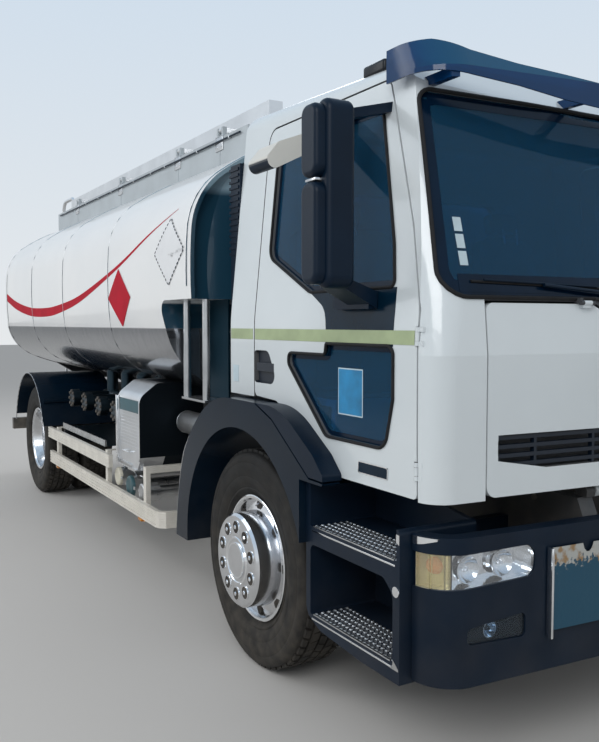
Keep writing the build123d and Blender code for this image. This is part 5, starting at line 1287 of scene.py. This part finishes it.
# %% [markdown]
# Both entry steps have a toothed tread: small raised rings over the whole step, put there by the
# grid tree, and a bright strip along its outer edge.
# %% Treads and trims of the entry steps
tooth = lathe("tooth", [(0.0035, 0.0), (0.0035, 0.0035), (0.006, 0.0042), (0.0085, 0.0)], "Z", bright_steel, 8)
ridge = block("ridge", (-0.0105, -0.0012, 0), (0.0105, 0.0012, 0.005), bright_steel)
STEP_BOLT = [(0, -0.004), (0.019, -0.004), (0.019, 0.004), (0.015, 0.006), (0.013, 0.003), (0.009, 0.003),
    (0.007, 0.007), (0, 0.008)]
STEPS = [
    # height of the tread, its ends
    (0.4542, 0.650, 1.180), (0.8192, 0.650, 1.200),
]
for side, (view, ending) in SIDES.items():
    step_skin, bumper_skin = skin_of("entry_steps"), skin_of("front_bumper")
    pieces = [
        lathe("step_bolt", STEP_BOLT, "Y", chrome, 24, (ahead(1.214), side * 1.2045, 0.712)),
        laid("corner_plate", step_skin, view, [(1.165, 0.432), (1.230, 0.432)],
            [(1.165, 0.492), (1.230, 0.440)], bright_steel, columns=4),
        # The chrome strips on the step post and the bumper's top corner stand in for bright highlights on these
        # edges: painted highlight.
        laid("post_trim", step_skin, view, [(1.196, 0.893), (1.232, 0.880)],
            [(1.196, 0.918), (1.232, 0.914)], chrome, columns=4),
        laid("corner_trim", bumper_skin, view, [(1.243, 0.884), (1.29, 0.892), (1.345, 0.910)],
            [(1.243, 0.914), (1.29, 0.915), (1.345, 0.915)], chrome, columns=12),
    ]
    for z, x0, x1 in STEPS:
        middle = (ahead((x0 + x1) / 2), side * 1.115, z)
        pieces += [
            repeat("teeth", grid_tree, tooth, bright_steel, Length=x1 - x0, Width=0.15, Rows=21, Columns=6,
                Middle=middle),
            repeat("ridges", grid_tree, ridge, bright_steel, Length=x1 - x0 - 0.0265, Width=0.12, Rows=20,
                Columns=5, Middle=middle),
            slab("edge", (x0 - 0.01, x1 + 0.008), (side * 1.2072, side * 1.2042), (z - 0.020, z - 0.013),
                chrome, 0.001),
            slab("lip", (x0, x1), (side * 1.2055, side * 1.195), (z - 0.001, z + 0.004), bright_steel, 0.001),
        ]
    group("step_fittings" + ending, pieces, "chassis")
drop(tooth, ridge)

# %% [markdown]
# The hazard plate on the bumper is blank: teal below, with pale and rusty paint left along its
# top, where the colour has peeled, and a bright bar along one side. It has a notch in its top.
# %% Hazard plate on the bumper
hazard = finish("hazard_plate", (0.002, 0.06, 0.11), 0.35)
flaking = times(hazard, ranged(hazard, axis_of(hazard, 2), 0.70, 0.86, 0.0, 1.0), specks(hazard, 60, 9), "ADD")
bare_part = ranged(hazard, flaking, 0.98, 1.06)
rusty = mixed(hazard, ranged(hazard, specks(hazard, 25, 5), 0.5, 0.62), (0.42, 0.43, 0.41), (0.30, 0.19, 0.09))
feed(hazard, "Base Color", mixed(hazard, bare_part, (0.002, 0.06, 0.11), rusty))
relief(hazard, flaking, 0.0015, 0.4)
PLATE = [(-0.68, 0.545), (-0.28, 0.545), (-0.28, 0.845), (-0.47, 0.845), (-0.477, 0.825), (-0.49, 0.812),
    (-0.505, 0.812), (-0.518, 0.825), (-0.525, 0.845), (-0.68, 0.845)]
bumper_skin = skin_of("front_bumper")
back, face = [[Vector((layer - depth_on(bumper_skin, "front", y, 0.60), y, z)) for y, z in PLATE]
    for layer in (0.010, 0.013)]
plate = prism("plate", back, face, hazard)
front_x = max(v.x for v in face)
bar = block("plate_bar", (front_x - 0.030, -0.688, 0.52), (front_x - 0.004, -0.678, 0.848), chrome, 0.002)
pads = []
for y, z in ((-0.62, 0.59), (-0.62, 0.79), (-0.34, 0.59), (-0.34, 0.79)):
    x = -depth_on(bumper_skin, "front", y, z)
    pads.append(block("plate_pad", (x - 0.002, y - 0.02, z - 0.02), (x + 0.0095, y + 0.02, z + 0.02),
        dark_plastic))
group("hazard_plate", [plate, bar] + pads, "chassis")

# %% [markdown]
# Mirror glasses close the back of the mirror heads, and each roof edge has a small marker lamp.
# %% Mirror glasses and marker lamps
MIRROR_GLASS = [
    # heights of the glass
    (1.803, 2.112), (2.172, 2.382),
]
for side, (view, ending) in SIDES.items():
    width = (side * 1.427, side * 1.323)
    glasses = [slab("mirror_glass", (0.9455, 0.9495), width, heights, chrome, 0.0015)
        for heights in MIRROR_GLASS]
    glasses.append(slab("mirror_link", (0.965, 1.035), width, (2.1375, 2.1465), bright_steel, 0.001))
    group("mirror_glasses" + ending, glasses, "door" + ending)
    roof_z = -depth_on(skin_of("cab_roof"), "top", 0.775, side * 0.985)
    lamp = slab("roof_marker" + ending, (0.70, 0.85), (side * 1.01, side * 0.955),
        (roof_z - 0.012, roof_z + 0.040), lamp_black, 0.014, 4)
    carry(lamp, "cab")

# %% [markdown]
# The walkway's coaming is a sheet in several lengths, given a duller grey-blue as painted shade.
# Each joint has a silver bracket, and a thin conduit runs along the top. The deck has black grip
# strips, and the manhole lids get their ring of clamp bolts and a breather.
# %% Walkway, coaming and lids
# The coaming's grey-blue is painted shade on a white sheet.
coaming_paint = worn("coaming_paint", (0.44, 0.49, 0.52), 0.4, (5, 3, 0.004, 0.15), dust=0.2, top=2.9, scale=4,
    spread=0.08)
dress(coaming_paint, "walkway_coaming")
POSTS = [-4.66, -3.28, -1.975, -1.267]
LIDS = [-1.62, -2.62, -3.95, -4.96]
grip = finish("grip_strip", (0.02, 0.02, 0.022), 0.95)
relief(grip, specks(grip, 500, 2), 0.002, 0.8)
BOLT = [(0, 0), (0.013, 0), (0.013, 0.009), (0.0115, 0.011), (0, 0.0115)]
hex_bolt = lathe("hex_bolt", BOLT, "Z", bright_steel, 6)
RIVET = [(0, -0.7605), (0.006, -0.7595), (0.009, -0.7565), (0, -0.7560)]
BEND_X = (-5.32, -4.72, -4.60, -3.34, -3.22, -2.03, -1.92, -1.32, -0.95)
CLIP_X = (-5.1, -4.3, -3.9, -3.5, -2.9, -2.5, -2.2, -1.6, -1.1)
brackets = []
for x in POSTS:
    brackets += [slab("bracket", (x - 0.055, x + 0.055), (-0.7565, -0.7502), (2.715, 2.8), bright_steel, 0.002),
        slab("foot", (x - 0.055, x + 0.055), (-0.7565, -0.722), (2.8002, 2.8062), bright_steel, 0.002),
        slab("joint", (x - 0.004, x + 0.004), (-0.7525, -0.7502), (2.56, 2.714), coaming_paint)]
    brackets += [lathe("rivet", RIVET, "Y", bright_steel, 12, (ahead(x + dx), 0, z))
        for dx in (-0.035, 0.035) for z in (2.74, 2.775)]
conduit = tube("conduit", [(ahead(x), -0.762, 2.771) for x in BEND_X], 0.006, dark_plastic)
clips = [slab("clip", (x - 0.006, x + 0.006), (-0.77, -0.7502), (2.763, 2.779), bright_steel, 0.001)
    for x in CLIP_X]
group("coaming_fittings", brackets + clips + [conduit], "chassis")

strips = []
for a, b in ((-5.30, -5.26), (-4.62, -4.30), (-3.60, -2.96), (-2.28, -1.96), (-1.28, -0.95)):
    for y in (-0.62, -0.40, 0.36, 0.58):
        strips.append(patch("grip", tank_skin, "top", (a, y), (b, y + 0.05), grip, columns=6, rows=1))
group("grip_strips", strips, "chassis")
lid_parts = []
for x in LIDS:
    bolts = repeat("lid_bolts", ring_tree, hex_bolt, bright_steel, Count=16, Radius=0.268)
    move(bolts, moved(ahead(x), 0, 2.724))
    flange_bolts = repeat("flange_bolts", ring_tree, hex_bolt, bright_steel, Count=8, Radius=0.088)
    move(flange_bolts, moved(ahead(x), 0.09, 2.76))
    breather = lathe("breather", [(0, 2.75), (0.045, 2.75), (0.045, 2.762), (0.03, 2.768), (0.03, 2.79),
        (0.052, 2.795), (0.05, 2.812), (0.02, 2.82), (0, 2.821)], "Z", cast_steel, 24, (ahead(x), -0.13, 0))
    hinge = slab("lid_hinge", (x - 0.04, x + 0.04), (0.262, 0.318), (2.70, 2.742), cast_steel, 0.004)
    lid_parts += [bolts, flange_bolts, breather, hinge]
group("lid_fittings", lid_parts, "chassis")

# %% [markdown]
# The meter cabinet is brushed aluminium with a bright bar up its edge and a blank teal band. Its
# inner and front parts, the right fuel and air tanks and the pipework under the tank and in the
# niche get painted shade. The hose couplings below it get caps with two ears each, and every outlet
# flange its bolts.
# %% Cabinet, couplings and outlets
cream_paint = tape("cream_paint", (0.62, 0.60, 0.50), 0.4, 0.1)
# Painted shade on the pipework: dark under the tank between the axles, and darker in the niche at the tank's
# front.
pipes_with_painted_shade = recoloured(bright_steel, "pipe_finish", lambda material: within(material,
    (ahead(-3.80), 0.3, 0.70), (ahead(-2.1), 1.151, 1.5)), (0.03, 0.05, 0.065), 0.35)
pipes_with_painted_shade = recoloured(pipes_with_painted_shade, "pipe_and_plate_finish", lambda material: within(material,
    (ahead(-0.94), 0.99, 1.22), (ahead(-0.58), 1.02, 1.80)), (0.004, 0.03, 0.05), 0.5)


# Painted shade on the inner and front parts of the cabinet.
def case_shade_mask(material):
    inner = within(material, (ahead(-1.9), 0.3, 0.6), (ahead(-1.4), 1.03, 1.5))
    front = within(material, (ahead(-1.532), 0.3, 0.6), (ahead(-1.4), 1.3, 1.5))
    return times(material, inner, front, "MAXIMUM")


# Painted shade on the right fuel and air tanks between the frame and the side.
def air_tank_shade_mask(material):
    where = node(material, "SeparateXYZ", {0: coords(material)})
    right = ranged(material, where.outputs[1], -0.30, -0.31)
    return times(material, right, ranged(material, where.outputs[1], -0.80, -0.79))


dress(recoloured(aluminium, "case_finish", case_shade_mask, DEEP_SHADE, 0.5), "meter_cabinet")
dress(recoloured(aluminium, "air_tank_finish", air_tank_shade_mask, DEEP_SHADE, 0.5), "fuel_and_air_tanks")
dress(pipes_with_painted_shade, "pipework")
cabinet_skin = skin_of("meter_cabinet")
PULL = [(-1.84, -1.190), (-1.84, -1.212), (-1.72, -1.212), (-1.72, -1.190)]
cabinet = [
    patch("cabinet_band", cabinet_skin, "right", (-1.958, 1.065), (-1.557, 1.145), teal_sign, rows=3),
    slab("cabinet_bar", (-1.990, -1.968), (-1.214, -1.199), (0.70, 1.16), chrome, 0.003),
    slab("cabinet_sill", (-1.955, -1.70), (-1.2, -1.190), (0.702, 0.722), bright_steel, 0.002),
    tube("cabinet_pull", [(ahead(x), y, 0.80) for x, y in PULL], 0.005, chrome),
]
ribs = [slab("cabinet_rib", (-1.960, -1.555), (-1.1945, -1.1915), (0.84 + 0.022 * k, 0.842 + 0.022 * k),
    aluminium) for k in range(10)]
group("cabinet_fittings", cabinet + ribs, "chassis")
OUTLETS = (-3.55, -3.15, -2.75, -2.35)
COUPLINGS = [
    # distance from the front axle, height, radius, finish of the cap
    (-2.100, 0.575, 0.062, cream_paint), (-1.840, 0.550, 0.070, teal_sign),
    (-1.590, 0.550, 0.060, bright_steel),
]
caps = []
for x, z, radius, material in COUPLINGS:
    profile = [(0, -1.166), (radius * 0.5, -1.168), (radius * 0.86, -1.174), (radius, -1.170),
        (radius * 1.05, -1.158), (radius * 1.05, -1.1502), (0, -1.1502)]
    caps.append(lathe("cap", profile, "Y", material, 40, (ahead(x), 0, z)))
    for way in (-1, 1):
        x0, x1 = ahead(x + way * radius * 0.98), ahead(x + way * radius * 1.42)
        caps.append(block("ear", (x0, -1.168, z - 0.011), (x1, -1.154, z + 0.011), bright_steel, 0.003))
    lever = [(ahead(x + 0.01), -1.12, z + radius), (ahead(x + 0.01), -1.135, z + radius + 0.03),
        (ahead(x - 0.05), -1.16, z + radius + 0.045)]
    caps.append(tube("lever", lever, 0.006, chrome))
for x in OUTLETS:
    bolts = repeat("outlet_bolts", ring_tree, hex_bolt, cast_steel, Count=8, Radius=0.061)
    move(bolts, moved(ahead(x), -1.115, 1.01) @ turned(90, "X"))
    caps.append(bolts)
caps.append(lathe("canister_end", [(0.0, -1.500), (0.03, -1.498), (0.058, -1.492), (0.073, -1.480),
    (0.0735, -1.470), (0.0, -1.470)], "X", chrome, 40, (ahead(0), -0.90, 1.01)))
arch_points = [on_circle(t) for t in range(20, 181, 20)]
for x, radius in ((-1.245, 0.045), (-1.16, 0.05), (-1.075, 0.045)):
    caps.append(tube("air_pipe", [(ahead(x) + p[0] * radius, -0.80 - 0.05 * p[1], 0.86 + p[1] * 0.06)
        for p in arch_points], 0.011, chrome, sides=3))
group("coupling_fittings", caps, "chassis")

# %% [markdown]
# Rows of bolts hold the frame, U-bolts clamp the springs to the axles, and small amber lamps sit
# under the side guards. The mudguards have a pale bead along their edge.
# %% Bolts, U-bolts, markers and beads
side_bolt = lathe("side_bolt", BOLT, "Y", cast_steel, 6)
bolt_rows = []
for side in (RIGHT, LEFT):
    for z in (0.755, 0.945):
        row = repeat("rail_bolts", row_tree, side_bolt, cast_steel, Count=35, Start=(0.0, 0.0, 0.0),
            End=(6.8, 0.0, 0.0))
        if side == RIGHT:
            mirror(row)
        move(row, moved(ahead(-5.70), side * 0.430, z))
        bolt_rows.append(row)
SPRINGS = [
    # axle, inner and outer face, lower and upper end of the bolts
    (0.0, 0.345, 0.435, 0.45, 0.645), (-WHEELBASE, 0.440, 0.532, 0.53, 0.715),
]
for x, inner, outer, low, high in SPRINGS:
    for side in (RIGHT, LEFT):
        for dx in (-0.062, 0.062):
            place = ahead(x + dx)
            bolt_rows.append(tube("u_bolt", [(place, side * inner, low), (place, side * inner, high),
                (place, side * outer, high), (place, side * outer, low)], 0.009, cast_steel))
for side in (RIGHT, LEFT):
    for x in (-1.5, -3.7) if side == RIGHT else (-2.4, -3.7):
        bolt_rows.append(slab("side_marker", (x - 0.035, x + 0.035), (side * 1.218, side * 1.190),
            (0.392, 0.4196), amber_lens, 0.005))
mudguard_vertices = [NODES["mudguards"].matrix_world @ v.co for v in NODES["mudguards"].data.vertices]
rear_edge = max(abs(v.y) for v in mudguard_vertices if v.x < ahead(-4))
front_edge = max(abs(v.y) for v in mudguard_vertices if v.x > ahead(-1))
for side in (RIGHT, LEFT):
    turns = [on_circle(t, 0.644) for t in range(12, 169, 6)]
    arc = [(ahead(-WHEELBASE) + x, side * (rear_edge - 0.003), AXLE_Z + z) for x, z in turns]
    bolt_rows.append(tube("rear_bead", arc, 0.0045, bright_steel, sides=2))
    edge = smooth_line([(-0.797, 0.475), (-0.764, 0.70), (-0.693, 0.925), (-0.60, 1.045)])
    bolt_rows.append(tube("front_bead", [(ahead(x + 0.003), side * (front_edge - 0.003), z) for x, z in edge],
        0.0035, bright_steel, sides=2))
group("chassis_fittings", bolt_rows, "chassis")

# %% [markdown]
# The back of the truck isn't in the photograph. It gets what every such truck has: lenses, round
# reflectors, a blank number plate and a blank sign on the tank's end. The fuel tank has a cap.
# %% Rear signs and fuel cap
rear_skin = skin_of("rear_bumper")
rear_parts = [patch("number_plate", rear_skin, "back", (-0.26, 0.485), (0.26, 0.595), white_sign, thick=0.002,
    lift=0.003)]
for side in (RIGHT, LEFT):
    spot = depth_on(rear_skin, "back", side * 0.7, 0.54)
    rear_parts.append(lathe("reflector", [(0, spot - 0.006), (0.03, spot - 0.0055), (0.034, spot - 0.003),
        (0.034, spot), (0, spot)], "X", red_lens, 24, (0, side * 0.7, 0.54)))
group("rear_signs", rear_parts, "chassis")
sign_line = rectangle((-650, 1550), (-250, 1850), 6)
tank_signs = [
    patch("rear_sign", tank_skin, "back", (-0.65, 1.55), (-0.25, 1.85), orange_sign, columns=10, rows=8),
    border("sign_rim", tank_skin, "back", sign_line, -0.010, 0.0, black_tape, 0.0024),
]
group("tank_rear_sign", tank_signs, "chassis")
filler = lathe("fuel_cap", [(0, 1.055), (0.03, 1.054), (0.046, 1.05), (0.05, 1.04), (0.05, 1.028),
    (0.04, 1.024), (0.04, 1.0), (0, 1.0)], "Z", chrome, 32, (ahead(-1.05), 0.80, 0))
carry(filler, "chassis")
drop(hex_bolt, side_bolt)

# %% [markdown]
# The seats are padded. Each pad starts as a finely divided box whose corners pull in, its middle
# is raised, its sides carry rolls, and sewn channels cross it. A subdivision surface rounds it.
# %% Padded seats
DRIVER_Y = 0.56


def pad(name, low, high, crown, rolls, channels, cuts=11):
    """A stuffed closed form in a box, crowned upwards, with its channels across X."""
    centre = (Vector(low) + Vector(high)) / 2
    half = (Vector(high) - Vector(low)) / 2
    work = bmesh.new()
    bmesh.ops.create_cube(work, size=2)
    bmesh.ops.subdivide_edges(work, edges=work.edges[:], cuts=cuts, use_grid_fill=True)
    for vertex in work.verts:
        u, v, w = vertex.co
        norm = (abs(u) ** 7 + abs(v) ** 7 + abs(w) ** 7) ** (1 / 7)
        u, v, w = vertex.co * (max(abs(u), abs(v), abs(w)) / norm)
        rise = crown * (1 - u * u) * (1 - v * v)
        rise += rolls * math.exp(-((abs(v) - 0.8) / 0.16) ** 2) * (1 - u ** 6)
        for channel in channels:
            rise -= 0.011 * math.exp(-((u - channel) / 0.07) ** 2) * (1 if abs(v) < 0.66 else 0.35)
        side_pull = 1 - 0.035 * (1 - w * w)
        vertex.co = centre + Vector((u * half.x * side_pull, v * half.y * side_pull, w * half.z
            + (rise if w > 0 else 0)))
    mesh = bpy.data.meshes.new(name)
    work.to_mesh(mesh)
    work.free()
    mesh.materials.append(seat_cloth)
    piece = add(name, mesh)
    smooth = piece.modifiers.new("smooth", "SUBSURF")
    smooth.levels = smooth.render_levels = 1
    return shade(outward(settle(piece)), 80)


def seat(name, middle, width):
    """One seat: a base, a seat pad, a leaning back pad and a head pad."""
    half = width / 2
    base = slab("base", (0.07, 0.46), (middle - half + 0.03, middle + half - 0.03), (1.33, 1.53), trim_plastic,
        0.02, 3)
    bottom = pad("bottom", (0.045, -half, 1.535), (0.545, half, 1.625), 0.018, 0.022, (-0.45, 0.05, 0.5))
    move(bottom, moved(FRONT_AXLE, middle, 0))
    back = pad("back", (0, -half + 0.01, 0), (0.56, half - 0.01, 0.085), 0.02, 0.03, (-0.5, -0.1, 0.3, 0.7))
    lean = turned(-100.5, "Y")
    move(back, moved(ahead(-0.018), middle, 1.60) @ lean)
    head = pad("head", (0, -0.115, 0), (0.135, 0.115, 0.07), 0.012, 0.0, (0.0,), 7)
    move(head, moved(ahead(-0.118), middle, 2.155) @ lean)
    for part in (bottom, back, head):
        outward(part)
    posts = [tube("post", [(ahead(-0.085), middle + dy, 2.10), (ahead(-0.10), middle + dy, 2.19)], 0.006,
        chrome) for dy in (-0.05, 0.05)]
    padding = join(name + "_pads", [bottom, back, head])
    carry(padding, "cab")
    group(name + "_base", [base] + posts, "cab")
    return padding


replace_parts(seat("driver_seat", DRIVER_Y, 0.46), "seats")
seat("mate_seat", -DRIVER_Y, 0.64)

# %% [markdown]
# The dashboard gets a row of dials under its hood, vents, switches and a dark screen, and the
# steering wheel a cover and stalks.
# %% Dashboard and steering wheel
dial_face = finish("dial_face", (0.006, 0.007, 0.009), 0.3)
relief(dial_face, specks(dial_face, 300, 2), 0.0003, 0.1)
dash_parts = []
tilt = turned(-22, "Y")
for dy, radius in ((-0.125, 0.032), (-0.05, 0.045), (0.05, 0.045), (0.125, 0.032)):
    dial = lathe("dial", [(0, 0.0), (radius, 0.0), (radius, 0.004), (radius - 0.004, 0.006),
        (radius - 0.005, 0.002), (0, 0.002)], "X", dial_face, 28)
    hand = block("hand", (0.0022, -0.001, -0.004), (0.0036, 0.001, radius * 0.75), red_tape)
    dial = join("dial", [dial, hand])
    move(dial, moved(ahead(0.921), DRIVER_Y + dy, 1.765) @ tilt @ turned(180, "Z"))
    dash_parts.append(dial)
for y in (-0.95, -0.55, -0.15, 0.15, 0.93):
    for k in range(5):
        z = 1.655 + 0.011 * k
        dash_parts.append(slab("vent_blade", (0.926, 0.936), (y - 0.05, y + 0.05), (z, z + 0.003),
            dark_plastic))
dash_parts.append(slab("screen", (0.926, 0.936), (0.04, 0.22), (1.59, 1.645), black_tape, 0.002))
for k in range(6):
    dash_parts.append(slab("switch", (0.926, 0.938), (-0.16 + 0.03 * k, -0.138 + 0.03 * k), (1.605, 1.635),
        trim_plastic, 0.002))
group("dash_fittings", dash_parts, "cab")
wheel_lean = moved(ahead(0.868), DRIVER_Y, 1.838) @ turned(-32, "Y")
ring = [(*on_circle(t * 7.5, 0.215), 0.0) for t in range(48)]
cover = tube("cover", ring, 0.0165, black_rubber, closed=True, sides=3)
move(cover, wheel_lean)
boss = lathe("boss", [(0, 0.010), (0.045, 0.008), (0.058, 0.0), (0.058, -0.002), (0, -0.002)], "Z",
    trim_plastic, 32)
move(boss, wheel_lean)
stalks = [tube("stalk", [(ahead(0.93), DRIVER_Y + side * 0.03, 1.79),
    (ahead(0.915), DRIVER_Y + side * 0.17, 1.805)], 0.007, trim_plastic) for side in (-1, 1)]
group("wheel_fittings", [cover, boss] + stalks, "cab")
